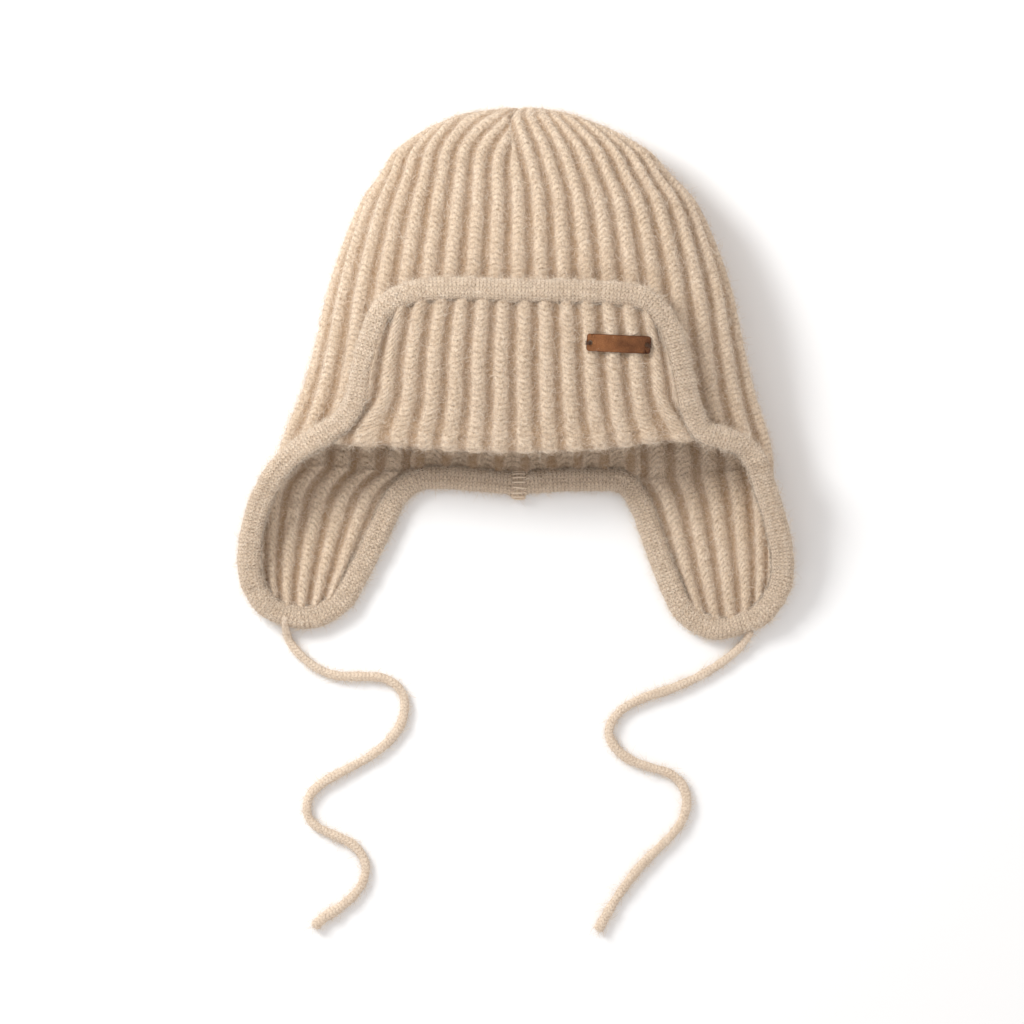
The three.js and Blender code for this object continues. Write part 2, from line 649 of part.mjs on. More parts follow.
// An ear flap: from the crown's rim at its side down to the bound tip, its front edge curled up.
// Its side lines leave the rim's ends and reach the binding within earJoin of their length.
const earRows = 11;
const earJoin = 0.25;
function earGeometry(side, sign) {
  const turnAt = (a) => frontTurn - sign * mix(gapEnd, earEnd, a);
  const top = (a) => {
    const turn = turnAt(a);
    return crownMiddle(turn, rimDepth(turn) + seamGap / crownDepth);
  };
  const tipOuter = edgeMark(`${side} tipOuter`);
  const tipInner = edgeMark(`${side} tipInner`);
  const neckMiddle = (edgeLeft.length - 1) / edgeRows.length;
  const outerLine = edgeStretch(edgeNear(top(0), edgeMark(`${side} foot`), tipOuter, 'middle'), tipOuter);
  const innerLine = edgeStretch(edgeNear(top(1), neckMiddle, tipInner, 'start'), tipInner);
  const tipLine = edgeStretch(tipOuter, tipInner);
  const joinTop = (line, a) => (b) => {
    const blend = Math.max(1 - b / earJoin, 0) ** 2;
    return line(b).lerp(top(a), blend);
  };
  const surface = patch(top, tipLine, joinTop(outerLine, 0), joinTop(innerLine, 1));
  const columns = earRibs * columnsPerRib;
  const rows = [];
  for (let j = 0; j < earRows; j += 1) {
    const row = [];
    for (let i = 0; i <= columns; i += 1) {
      const point = surface(i / columns, j / (earRows - 1));
      point.z = Math.max(point.z, fabricHalf);
      row.push(point);
    }
    rows.push(sign > 0 ? row : row.reverse());
  }
  const turns = rows[0].map((point, i) => turnAt(i / columns));
  if (sign < 0) turns.reverse();
  return clothGeometry(rows, (a) => ribDepth / 2 * Math.cos(fullTurn * earRibs * a), inwardAt(turns));
}

// The binding: a padded band whose section is a flattened round, fuller at the seam in the neck.
const bindingSamples = 600;
function bindingGeometry() {
  const shell = new Shell();
  const rings = [];
  const lengths = [0];
  const fine = bindingSamples;
  for (let i = 1; i <= fine; i += 1) {
    lengths.push(lengths[i - 1] + edgePlan.getPoint(i / fine).distanceTo(edgePlan.getPoint((i - 1) / fine)));
  }
  const seam = (edgeLeft.length - 1) / edgeRows.length;
  const seamPlace = edgePlan.getPoint(seam);
  for (let i = 0; i < bindingSteps; i += 1) {
    const target = (i / bindingSteps) * lengths[fine];
    let k = 1;
    while (lengths[k] < target) k += 1;
    const share = (k - 1 + (target - lengths[k - 1]) / (lengths[k] - lengths[k - 1])) / fine;
    const { middle, width, thick } = edgeAt(share);
    const away = Math.hypot(middle.x - seamPlace.x, middle.y - seamPlace.y) / seamLength;
    const swell = 1 + seamSwell * Math.exp(-away * away);
    const ring = [];
    for (let j = 0; j < bindingSides; j += 1) {
      const angle = ((j + 0.5) / bindingSides) * fullTurn;
      const point = middle.clone()
        .addScaledVector(width, Math.cos(angle) * halfWidth)
        .addScaledVector(thick, Math.sin(angle) * halfThickness * swell);
      point.z = Math.max(point.z, 0);
      ring.push(shell.add(point));
    }
    rings.push(ring);
  }
  for (let i = 0; i < bindingSteps; i += 1) {
    const ring = rings[i];
    const next = rings[(i + 1) % bindingSteps];
    for (let j = 0; j < bindingSides; j += 1) {
      const k = (j + 1) % bindingSides;
      shell.quad(ring[j], next[j], next[k], ring[k]);
    }
  }
  return shell.geometry();
}

function tieGeometry(route) {
  const points = route.map((point) => new THREE.Vector3(...point));
  const line = new THREE.CatmullRomCurve3(points, false, 'centripetal');
  const section = new THREE.Shape();
  for (let i = 0; i < tieSides; i += 1) {
    const angle = ((i + 0.5) / tieSides) * fullTurn;
    const x = Math.cos(angle) * tieDiameter / 2;
    const y = Math.sin(angle) * tieDiameter / 2;
    if (i === 0) section.moveTo(x, y);
    else section.lineTo(x, y);
  }
  section.closePath();
  return new THREE.ExtrudeGeometry(section, { steps: tieSteps, extrudePath: line, curveSegments: 1 });
}

// The tag and the thread in its holes, in a frame of their own: x along the tag, z out of it.
function tagGeometry() {
  const shape = new THREE.Shape();
  const x = tagLength / 2;
  const y = tagWidth / 2;
  shape.moveTo(-x + tagCorner, -y);
  shape.lineTo(x - tagCorner, -y);
  shape.absarc(x - tagCorner, -y + tagCorner, tagCorner, -Math.PI / 2, 0, false);
  shape.absarc(x - tagCorner, y - tagCorner, tagCorner, 0, Math.PI / 2, false);
  shape.absarc(-x + tagCorner, y - tagCorner, tagCorner, Math.PI / 2, Math.PI, false);
  shape.absarc(-x + tagCorner, -y + tagCorner, tagCorner, Math.PI, 1.5 * Math.PI, false);
  for (const side of [-1, 1]) {
    const hole = new THREE.Path();
    hole.absarc(side * (x - tagHoleInset), 0, tagHoleDiameter / 2, 0, fullTurn, true);
    shape.holes.push(hole);
  }
  const options = { depth: tagThickness, bevelEnabled: false, curveSegments: tagCornerSteps };
  const geometry = new THREE.ExtrudeGeometry(shape, options);
  geometry.translate(0, 0, -tagThickness / 2);
  return geometry;
}

function stitchGeometry() {
  const radius = tagHoleDiameter / 2 - gap;
  const geometry = new THREE.CylinderGeometry(radius, radius, tagThickness + gap, stitchSides);
  geometry.rotateX(Math.PI / 2);
  geometry.translate(0, 0, gap / 2);
  return geometry;
}

function piece(name, geometry, color, roughness) {
  const mesh = new THREE.Mesh(geometry, new THREE.MeshStandardMaterial({ color, roughness, metalness: 0 }));
  mesh.name = name;
  return mesh;
}

function tagGroup() {
  const step = tagSeatStep;
  const centre = flapPanel(tagAcross, tagUp);
  const across = flapPanel(tagAcross + step, tagUp).sub(flapPanel(tagAcross - step, tagUp)).normalize();
  const along = flapPanel(tagAcross, tagUp + step).sub(flapPanel(tagAcross, tagUp - step)).normalize();
  const normal = across.clone().cross(along).normalize();
  const flat = normal.clone().cross(across).normalize();
  const group = new THREE.Group();
  group.matrixAutoUpdate = false;
  const turn = new THREE.Matrix4().makeRotationZ(tagTurn * Math.PI / 180);
  group.matrix.makeBasis(across, flat, normal).multiply(turn);
  centre.addScaledVector(normal, fabricHalf + gap + tagThickness / 2);
  group.matrix.setPosition(centre);
  group.add(piece('tag', tagGeometry(), leatherColour, leatherRoughness));
  for (const [name, side] of [['tag_stitch_left', -1], ['tag_stitch_right', 1]]) {
    const stitch = piece(name, stitchGeometry(), threadColour, threadRoughness);
    stitch.position.x = side * (tagLength / 2 - tagHoleInset);
    group.add(stitch);
  }
  return group;
}

const hat = new THREE.Group();
hat.add(piece('crown', crownGeometry(), knitColour, fabricRoughness));
hat.add(piece('front_flap', flapGeometry(), knitColour, fabricRoughness));
hat.add(piece('ear_flap_left', earGeometry('left', -1), knitColour, fabricRoughness));
hat.add(piece('ear_flap_right', earGeometry('right', 1), knitColour, fabricRoughness));
hat.add(piece('edge_binding', bindingGeometry(), bindingColour, fabricRoughness));
hat.add(tagGroup());
hat.add(piece('tie_left', tieGeometry(tieRouteLeft), tieColour, fabricRoughness));
hat.add(piece('tie_right', tieGeometry(tieRouteRight), tieColour, fabricRoughness));

// The hat without its ties stands with the middle of its box over the origin.
hat.updateMatrixWorld(true);
const box = new THREE.Box3();
for (const part of hat.children) {
  if (!part.name.startsWith('tie')) box.expandByObject(part, true);
}
const middle = box.getCenter(new THREE.Vector3());
hat.position.set(-middle.x, -middle.y, -box.min.z);

export default hat;
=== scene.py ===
import bpy
import bmesh
import numpy as np
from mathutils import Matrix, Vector


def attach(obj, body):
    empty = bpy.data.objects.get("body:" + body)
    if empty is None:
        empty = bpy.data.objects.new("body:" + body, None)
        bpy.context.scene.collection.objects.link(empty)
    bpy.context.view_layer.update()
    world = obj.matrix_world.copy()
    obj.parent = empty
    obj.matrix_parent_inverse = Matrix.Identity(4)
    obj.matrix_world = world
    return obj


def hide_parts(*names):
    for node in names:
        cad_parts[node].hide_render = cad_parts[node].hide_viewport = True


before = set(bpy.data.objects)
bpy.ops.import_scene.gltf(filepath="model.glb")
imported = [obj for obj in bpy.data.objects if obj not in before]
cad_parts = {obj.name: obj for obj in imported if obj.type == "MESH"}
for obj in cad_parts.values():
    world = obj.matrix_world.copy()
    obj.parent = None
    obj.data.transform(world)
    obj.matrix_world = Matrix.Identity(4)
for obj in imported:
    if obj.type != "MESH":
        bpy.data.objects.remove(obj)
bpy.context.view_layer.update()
print("frame loaded")

# A ribbed knitted earflap hat that lies on its back: metres, +Z up, the crown's top towards +Y.
hatShift = np.array([0.00083135, 0.00038556, 0.0])  # centres the hat without its ties over the origin

view = {
    "aim": (-0.0019, -0.0691),
    "height": 5.0,
    "level": 0.012,
    "span": 0.512,
    "sensor": 36,
    "clipEnd": 20,
    "floorSize": 7.0,
    "floorShade": 0.95,
    "floorRoughness": 0.9,
    "worldShade": (1, 0.975, 0.965, 1),
    "worldStrength": 0.79,
    "keyPlace": (-0.85, 0.62, 0.9),
    "keySize": 0.45,
    "keyShade": (0.985, 1, 1),
    "keyPower": 14.5,
}


def addObject(name, data):
    made = bpy.data.objects.new(name, data)
    bpy.context.scene.collection.objects.link(made)
    return made


camera = bpy.data.cameras.new("camera")
camera.sensor_width = view["sensor"]
camera.lens = view["sensor"] * (view["height"] - view["level"]) / view["span"]
camera.clip_end = view["clipEnd"]
cameraObject = addObject("camera", camera)
cameraObject.location = (view["aim"][0], view["aim"][1], view["height"])
bpy.context.scene.camera = cameraObject

bpy.context.scene.view_settings.view_transform = "Standard"
world = bpy.data.worlds.new("studio")
bpy.context.scene.world = world
world.use_nodes = True
background = world.node_tree.nodes["Background"]
background.inputs["Color"].default_value = view["worldShade"]
background.inputs["Strength"].default_value = view["worldStrength"]

key = bpy.data.lights.new("key", "AREA")
key.size = view["keySize"]
key.energy = view["keyPower"]
key.color = view["keyShade"]
keyObject = addObject("key", key)
keyObject.location = view["keyPlace"]
keyObject.rotation_euler = (-Vector(view["keyPlace"])).to_track_quat("-Z", "Y").to_euler()


class Wire:
    # a socket in a node tree, with sums written as plain expressions
    def __init__(self, tree, socket=None):
        self.tree = tree
        self.socket = socket

    def node(self, kind, settings=None, sockets=None, out=0):
        made = self.tree.nodes.new(kind)
        for name, value in (settings or {}).items():
            setattr(made, name, value)
        for name, value in (sockets or {}).items():
            if isinstance(value, Wire):
                self.tree.links.new(value.socket, made.inputs[name])
            else:
                made.inputs[name].default_value = value
        return Wire(self.tree, made.outputs[out] if made.outputs else None)

    def maths(self, operation, *values):
        return self.node("ShaderNodeMath", {"operation": operation}, dict(enumerate(values)))

    def __add__(self, other):
        return self.maths("ADD", self, other)

    def __radd__(self, other):
        return self.maths("ADD", other, self)

    def __sub__(self, other):
        return self.maths("SUBTRACT", self, other)

    def __rsub__(self, other):
        return self.maths("SUBTRACT", other, self)

    def __mul__(self, other):
        return self.maths("MULTIPLY", self, other)

    def __rmul__(self, other):
        return self.maths("MULTIPLY", other, self)

    def __pow__(self, other):
        return self.maths("POWER", self, other)

    def __abs__(self):
        return self.maths("ABSOLUTE", self)

    def fraction(self):
        return self.maths("FRACT", self)

    def most(self, other):
        return self.maths("MAXIMUM", self, other)

    def least(self, other):
        return self.maths("MINIMUM", self, other)

    def clamped(self):
        return self.most(0.0).least(1.0)

    def rise(self, start, end):
        # 0 below start, 1 above end, smooth between
        settings = {"interpolation_type": "SMOOTHSTEP"}
        return self.node("ShaderNodeMapRange", settings, {"Value": self, "From Min": start, "From Max": end})

    def blend(self, colourLow, colourHigh):
        # this wire mixes two colours
        sockets = {0: self, 6: colourLow, 7: colourHigh}
        return self.node("ShaderNodeMix", {"data_type": "RGBA"}, sockets, out=2)


finish = {
    "sheenRoughness": 0.6,
    "flatBump": 0.0001,
}


def startFinish(name):
    material = bpy.data.materials.new(name)
    material.use_nodes = True
    tree = material.node_tree
    tree.nodes.clear()
    return material, Wire(tree)


def endFinish(wire, colour, roughness, height, bumpDistance, sheen=0.0, specular=0.3):
    # sheen and specular are the same all over, so they sit on the shader's own sockets
    normal = wire.node("ShaderNodeBump", {}, {"Strength": 1.0, "Distance": bumpDistance, "Height": height})
    values = {
        "Base Color": colour,
        "Roughness": roughness,
        "Normal": normal,
        "Sheen Weight": sheen,
        "Sheen Roughness": finish["sheenRoughness"],
        "Specular IOR Level": specular,
    }
    shader = wire.node("ShaderNodeBsdfPrincipled", {}, values)
    wire.node("ShaderNodeOutputMaterial", {}, {"Surface": shader})


def objectPlace(wire):
    return wire.node("ShaderNodeTexCoord", out=3)


def smoothNoise(wire, scale, detail=1.0, roughness=0.5):
    sockets = {"Vector": objectPlace(wire), "Scale": scale, "Detail": detail, "Roughness": roughness}
    return wire.node("ShaderNodeTexNoise", {}, sockets)


def readMark(wire):
    # the piece's own knit coordinate: across its wales or along it, and up its stitches
    mark = wire.node("ShaderNodeUVMap", {"uv_map": "knit"})
    across = wire.node("ShaderNodeSeparateXYZ", {}, {0: mark}, out=0)
    along = wire.node("ShaderNodeSeparateXYZ", {}, {0: mark}, out=1)
    return across, along


floorMaterial, floorWire = startFinish("floor")
floorShade = view["floorShade"]
floorColour = (floorShade, floorShade, floorShade, 1)
endFinish(floorWire, floorColour, view["floorRoughness"], 0.0, finish["flatBump"], specular=0.0)
floorMesh = bpy.data.meshes.new("floor")
floorBuild = bmesh.new()
bmesh.ops.create_grid(floorBuild, x_segments=1, y_segments=1, size=view["floorSize"] / 2)
floorBuild.to_mesh(floorMesh)
floorBuild.free()
floorMesh.materials.append(floorMaterial)
floorObject = addObject("floor", floorMesh)
print("camera, floor and light set")


weldWithin = 1e-6


def gridPiece(name, spots, marks, material, apart=0, closed=True):
    # spots and marks hold a place and a knit coordinate for each row and column of the grid, apart
    # cuts the grid into strips of so many rows, and a closed piece is welded and has a map to bake on
    rows = spots.shape[0] - 1
    columns = spots.shape[1] - 1
    build = bmesh.new()
    bmesh.ops.create_grid(build, x_segments=columns, y_segments=rows, size=0.5)
    if apart > 0:
        between = []
        for face in build.faces:
            row = round((face.calc_center_median().y + 0.5) * rows - 0.5)
            if row % apart == apart - 1:
                between.append(face)
        bmesh.ops.delete(build, geom=between, context="FACES_ONLY")
    mesh = bpy.data.meshes.new(name)
    build.to_mesh(mesh)
    build.free()
    flat = np.empty(len(mesh.vertices) * 3)
    mesh.vertices.foreach_get("co", flat)
    i = np.rint((flat[0::3] + 0.5) * columns).astype(int)
    j = np.rint((flat[1::3] + 0.5) * rows).astype(int)
    mesh.vertices.foreach_set("co", (spots[j, i] + hatShift).ravel())
    corner = np.empty(len(mesh.loops), dtype=np.int32)
    mesh.loops.foreach_get("vertex_index", corner)
    layer = mesh.uv_layers.new(name="knit")
    layer.data.foreach_set("uv", marks[j[corner], i[corner]].ravel())
    if closed:
        spread = mesh.uv_layers.new(name="OFBake")
        even = np.stack([i[corner] / columns, j[corner] / rows], axis=-1)
        spread.data.foreach_set("uv", even.ravel())
    build = bmesh.new()
    build.from_mesh(mesh)
    if closed:
        bmesh.ops.remove_doubles(build, verts=build.verts, dist=weldWithin)
        bmesh.ops.recalc_face_normals(build, faces=build.faces)
    for face in build.faces:
        face.smooth = True
    build.to_mesh(mesh)
    build.free()
    mesh.materials.append(material)
    piece = addObject(name, mesh)
    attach(piece, "root")
    print(name, len(mesh.vertices), "vertices")
    return piece


def gridMarks(across, along):
    # knit coordinates for a grid, from values for its columns and for its rows
    return np.stack(np.broadcast_arrays(across, along), axis=-1)


def normalise(vectors):
    return vectors / np.maximum(np.linalg.norm(vectors, axis=-1, keepdims=True), 1e-12)


def faceNormals(spots):
    return normalise(np.cross(np.gradient(spots, axis=1), np.gradient(spots, axis=0)))


def tubeSpots(line, radius, angle, first, second):
    # rings round a line, one row for each of its points, in the plane of two directions
    ring = np.cos(angle)[None, :, None] * first + np.sin(angle)[None, :, None] * second
    return line[:, None] + radius[..., None] * ring


def lerp(start, end, share):
    return start + (end - start) * share


def smoothStep(value, low, high):
    share = np.clip((value - low) / (high - low), 0, 1)
    return share * share * (3 - 2 * share)


def fromAbove(points, spot):
    # how far points lie from a spot, seen from above
    return np.hypot(points[:, 0] - spot[0], points[:, 1] - spot[1])


def runLengths(points):
    # how far along each point of a line lies, over the first axis
    steps = np.linalg.norm(np.diff(points, axis=0), axis=-1)
    return np.concatenate([np.zeros((1,) + steps.shape[1:]), np.cumsum(steps, axis=0)])


def rootGap(start, end):
    return np.maximum(np.linalg.norm(end - start, axis=-1, keepdims=True), 1e-9) ** 0.5


def centripetal(before, start, end, after, share):
    # one stretch of a smooth curve through points, as the solids use
    share = share[..., None]
    first = rootGap(before, start)
    second = rootGap(start, end)
    third = rootGap(end, after)
    leave = ((start - before) / first - (end - before) / (first + second) + (end - start) / second) * second
    arrive = ((end - start) / second - (after - start) / (second + third) + (after - end) / third) * second
    square = -3 * start + 3 * end - 2 * leave - arrive
    cube = 2 * start - 2 * end + leave + arrive
    return start + leave * share + square * share ** 2 + cube * share ** 3


fuzz = {
    "length": (0.0014, 0.0052),
    "width": 0.00012,
    "taper": 0.6,
    "sink": 0.0003,
    "lift": 0.85,
    "droop": 0.4,
    "stand": 0.25,
    "curl": 0.8,
    "slack": 0.3,
    "steps": 3,
    "seedStep": 100,
    "underside": (-0.75, 0.1),  # how far a face turns up where hairs begin and where all of them grow
    "floorGap": 0.0002,
    "shade": (0.66, 0.52, 0.38, 1),
    "paleShade": (0.92, 0.815, 0.69, 1),
    "roughness": 0.9,
    "sheen": 0.2,
    "specular": 0.1,
}


def fuzzFinish(name, shade):
    material, wire = startFinish(name)
    endFinish(wire, shade, fuzz["roughness"], 0.0, finish["flatBump"], fuzz["sheen"], fuzz["specular"])
    return material


fuzzTones = {
    "_fuzz": fuzzFinish("fuzz", fuzz["shade"]),
    "_pale_fuzz": fuzzFinish("pale fuzz", fuzz["paleShade"]),
}


def addFuzz(name, spots, count, seed, bare=None):
    # half of the hairs in each of the two shades; bare is 0 over spots where none grow
    for tone, material in fuzzTones.items():
        seed += fuzz["seedStep"]
        layHairs(name + tone, spots, count // 2, seed, material, bare)


def layHairs(name, spots, count, seed, material, bare):
    # fine hairs, each a strip of a few faces, rooted all over a face of the knit and laid at random
    chance = np.random.RandomState(seed)
    normals = faceNormals(spots)
    size = np.cross(np.diff(spots, axis=1)[:-1], np.diff(spots, axis=0)[:, :-1])
    weight = np.linalg.norm(size, axis=-1)
    weight = weight * smoothStep(normals[:-1, :-1, 2], *fuzz["underside"])
    if bare:
        weight = weight * bare(spots[:-1, :-1])
    picked = chance.choice(weight.size, count, p=weight.ravel() / weight.sum())
    j, i = np.unravel_index(picked, weight.shape)
    root = lerp(spots[j, i], spots[j + 1, i + 1], chance.rand(count, 1))
    normal = normals[j, i]
    sideways = normalise(np.cross(normal, chance.randn(count, 3)))
    curl = normalise(np.cross(normal, chance.randn(count, 3)))
    length = lerp(fuzz["length"][0], fuzz["length"][1], chance.rand(count) ** 2)
    lift = fuzz["lift"] * chance.rand(count)
    steps = np.arange(fuzz["steps"]) / (fuzz["steps"] - 1)
    run = (length[:, None] * steps)[..., None]
    share = steps[None, :, None]
    line = root[:, None] - normal[:, None] * fuzz["sink"]
    line = line + sideways[:, None] * run * (1 - fuzz["slack"] * share)
    line = line + normal[:, None] * run * (lift[:, None, None] * (1 - fuzz["droop"] * share) + fuzz["stand"])
    line = line + curl[:, None] * run * share * fuzz["curl"]
    across = normalise(np.cross(sideways, chance.randn(count, 3)))[:, None]
    half = across * fuzz["width"] / 2 * (1 - fuzz["taper"] * share)
    strips = np.stack([line - half, line + half], axis=2).reshape(count * fuzz["steps"], 2, 3)
    strips[..., 2] = np.maximum(strips[..., 2], fuzz["floorGap"])
    marks = np.zeros(strips.shape[:2] + (2,))
    piece = gridPiece(name, strips, marks, material, apart=fuzz["steps"], closed=False)


ties = {
    "diameter": 0.0046,
    "startShare": 0.78,
    "startLength": 0.03,
    "endShare": 1.12,
    "endLength": 0.012,
    "endFade": 1.4,
    "roundEnd": 0.0016,
    "sway": ((0.06, 140, 0), (0.035, 587, 1)),  # share of the width, pace and start of each wave
    "around": 20,
    "rowsPerStitch": 5,
    "pitch": 0.0019,
    "relief": 0.00006,
    "middle": (0.02, 0.16),
    "grooveShare": 1.3,
    "grooveWidth": 0.12,
    "slant": 1.1,
    "wales": 5,
    "fineSteps": 2000,
    "fuzz": 4200,
}
floorGap = 0.0001
tieRouteLeft = [
    (-0.1168, -0.1212, 0.0084), (-0.1164, -0.1248, 0.0078), (-0.1159, -0.1284, 0.0052),
    (-0.1150, -0.1322, 0.0030), (-0.1122, -0.1372, 0.0026),
    (-0.1064, -0.1432, 0.0025), (-0.0986, -0.1486, 0.0025), (-0.0897, -0.1515, 0.0025),
    (-0.0785, -0.1518, 0.0025), (-0.0674, -0.1526, 0.0025), (-0.0604, -0.1565, 0.0025),
    (-0.0569, -0.1626, 0.0025), (-0.0568, -0.1704, 0.0025), (-0.0598, -0.1784, 0.0025),
    (-0.0663, -0.1861, 0.0025), (-0.0752, -0.1928, 0.0025), (-0.0864, -0.1989, 0.0025),
    (-0.0964, -0.2045, 0.0025), (-0.1031, -0.2103, 0.0025), (-0.1053, -0.2162, 0.0025),
    (-0.1046, -0.2224, 0.0025), (-0.1006, -0.2270, 0.0025), (-0.0919, -0.2313, 0.0025),
    (-0.0830, -0.2357, 0.0025), (-0.0779, -0.2413, 0.0025), (-0.0760, -0.2475, 0.0025),
    (-0.0774, -0.2547, 0.0025), (-0.0819, -0.2614, 0.0025), (-0.0897, -0.2681, 0.0025),
    (-0.0975, -0.2731, 0.0025), (-0.1020, -0.2776, 0.0025),
]
tieRouteRight = [
    (0.1172, -0.1286, 0.0054), (0.1146, -0.1332, 0.0042), (0.1104, -0.1383, 0.0030),
    (0.1020, -0.1451, 0.0026),
    (0.0906, -0.1520, 0.0025), (0.0779, -0.1577, 0.0025), (0.0642, -0.1623, 0.0025),
    (0.0538, -0.1675, 0.0025), (0.0481, -0.1732, 0.0025), (0.0458, -0.1801, 0.0025),
    (0.0487, -0.1870, 0.0025), (0.0561, -0.1933, 0.0025), (0.0665, -0.1973, 0.0025),
    (0.0756, -0.2002, 0.0025), (0.0820, -0.2054, 0.0025), (0.0848, -0.2134, 0.0025),
    (0.0831, -0.2226, 0.0025), (0.0779, -0.2306, 0.0025), (0.0699, -0.2387, 0.0025),
    (0.0619, -0.2467, 0.0025), (0.0538, -0.2570, 0.0025), (0.0469, -0.2673, 0.0025),
    (0.0401, -0.2794, 0.0025),
]


def openCurve(points, shares):
    points = np.array(points)
    ahead = 2 * points[0] - points[1]
    behind = 2 * points[-1] - points[-2]
    padded = np.vstack([ahead, points, behind])
    place = np.clip(shares, 0, 1) * (len(points) - 1)
    i = np.minimum(np.floor(place).astype(int), len(points) - 2)
    return centripetal(padded[i], padded[i + 1], padded[i + 2], padded[i + 3], place - i)


def evenly(points, count):
    # the same line as points an equal way apart
    lengths = runLengths(points)
    targets = np.linspace(0, lengths[-1], count)
    return np.stack([np.interp(targets, lengths, points[:, k]) for k in range(3)], axis=-1)


def swayed(run, waves):
    # 1 with slow waves on it
    total = 1
    for size, pace, start in waves:
        total = total + size * np.sin(run * pace + start)
    return total


def tiePiece(name, route, material, seed):
    fine = openCurve(route, np.linspace(0, 1, ties["fineSteps"]))
    length = float(runLengths(fine)[-1])
    print(name, round(length, 4), "m long")
    rows = int(length / ties["pitch"] * ties["rowsPerStitch"])
    line = evenly(fine, rows + 1)
    along = normalise(np.gradient(line, axis=0))
    sideways = normalise(np.cross(np.array([0, 0, 1.0]), along))
    upwards = np.cross(along, sideways)
    run = np.linspace(0, length, rows + 1)
    fromEnd = length - run
    thickEnd = smoothStep(fromEnd, ties["endLength"], ties["endLength"] * ties["endFade"])
    width = lerp(ties["startShare"], 1, smoothStep(run, 0, ties["startLength"]))
    width = width + (ties["endShare"] - 1) * (1 - thickEnd)
    width = width * swayed(run, ties["sway"])
    nearest = np.minimum(fromEnd, run)
    closing = np.sqrt(np.clip(1 - (1 - nearest / ties["roundEnd"]) ** 2, 0, 1))
    closing = np.where(nearest > ties["roundEnd"], 1, closing)
    turn = np.linspace(0, 1, ties["around"] + 1)
    stitches = run[:, None] / ties["pitch"]
    lean = np.abs(((turn[None, :] * ties["wales"]) % 1) - 0.5)
    relief = ties["relief"] * np.cos(2 * np.pi * (stitches - ties["slant"] * lean))
    relief = relief * smoothStep(lean, *ties["middle"])
    grooves = -ties["relief"] * ties["grooveShare"] * (1 - smoothStep(0.5 - lean, 0, ties["grooveWidth"]))
    radius = (ties["diameter"] / 2 * width[:, None] - ties["relief"] + relief + grooves) * closing[:, None]
    spots = tubeSpots(line, radius, turn * 2 * np.pi, sideways[:, None], upwards[:, None])
    spots[..., 2] = np.maximum(spots[..., 2], floorGap)
    spots[:, -1] = spots[:, 0]
    spots[0] = line[0]
    spots[-1] = line[-1]
    piece = gridPiece(name, spots, gridMarks(turn[None, :] * ties["wales"], stitches), material)
    addFuzz(name, spots, ties["fuzz"], seed)
    return piece


yarn = {
    # ridge is the yarn's own colour; groove and trough are darker, warmer browns: painted shade between the
    # stitch legs and in the troughs between ribs, warm like light bounced off the wool
    "ridge": (0.88, 0.705, 0.525, 1),
    "groove": (0.37, 0.235, 0.13, 1),
    "trough": (0.45, 0.285, 0.16, 1),
    "slant": 1.7,
    "rows": 1.0,
    "wander": (380, 0.32),  # the scale of a noise, and how far it moves the stitches along their wale
    "drift": (220, 0.12),  # the same across it
    "coarseFibres": 0.9,
    "stitchHeight": 0.42,
    "fibreHeight": 1.25,
    "stitchShade": 0.38,
    "ridgeShade": 0.2,
    "baseShade": 0.22,
    "fibreShade": 1.45,
    "legSides": (0.1, 0.4),  # from the middle of a wale to its side, where a change begins and ends
    "legEdge": 0.45,
    "dimpleSides": (0.03, 0.14),
    "dimple": 0.95,
    "ribSides": (0.22, 0.42),
    "purlWander": 0.8,
    "purlHeight": 0.9,
    "troughShade": 0.4,
    "mottleScale": 38,
    "mottleEdge": (0.3, 0.7),
    "mottle": {"Saturation": 0.92, "Value": 1.06},
    "sheen": 0.35,
}
bindingYarn = {
    # groove is a darker brown: painted shade between the binding's stitches
    "ridge": (0.87, 0.715, 0.555, 1),
    "groove": (0.4, 0.265, 0.165, 1),
    "slant": 1.3,
    "rows": 19.0,
    "wander": (420, 1.1),
    "drift": (260, 0.7),
    "coarseFibres": 0.6,
    "stitchHeight": 0.9,
    "fibreHeight": 0.9,
    "stitchShade": 0.85,
    "baseShade": 0.1,
    "fibreShade": 1.6,
    "ribSides": (0.2, 0.5),
    "legEdge": 0.5,
    "legShare": 0.8,
    "sheen": 0.25,
}
tieYarn = {
    # groove is a darker brown: painted shade between the tie's stitches
    "ridge": (0.9, 0.75, 0.595, 1),
    "groove": (0.54, 0.39, 0.275, 1),
    "slant": 1.1,
    "rows": 1.0,
    "wander": (300, 0.5),
    "drift": (300, 0.0),
    "coarseFibres": 0.0,
    "stitchHeight": 0.5,
    "fibreHeight": 0.8,
    "stitchShade": 0.5,
    "baseShade": 0.4,
    "fibreShade": 1.3,
    "dimpleSides": (0.0, 0.12),
    "dimple": 0.5,
    "sheen": 0.25,
}
anyYarn = {
    "fine": 1250,
    "coarse": 560,
    "tangle": (3.0, 0.6),
    "roundness": 0.6,
    "roughness": 0.95,
    "specular": 0.15,
    "bump": 0.0007,
}


def yarnFibres(wire, coarseShare):
    # fine tangled hairs on the yarn, about 0
    fine = smoothNoise(wire, anyYarn["fine"], *anyYarn["tangle"]) - 0.5
    if coarseShare == 0:
        return fine
    coarse = smoothNoise(wire, anyYarn["coarse"], *anyYarn["tangle"]) - 0.5
    return fine + coarse * coarseShare


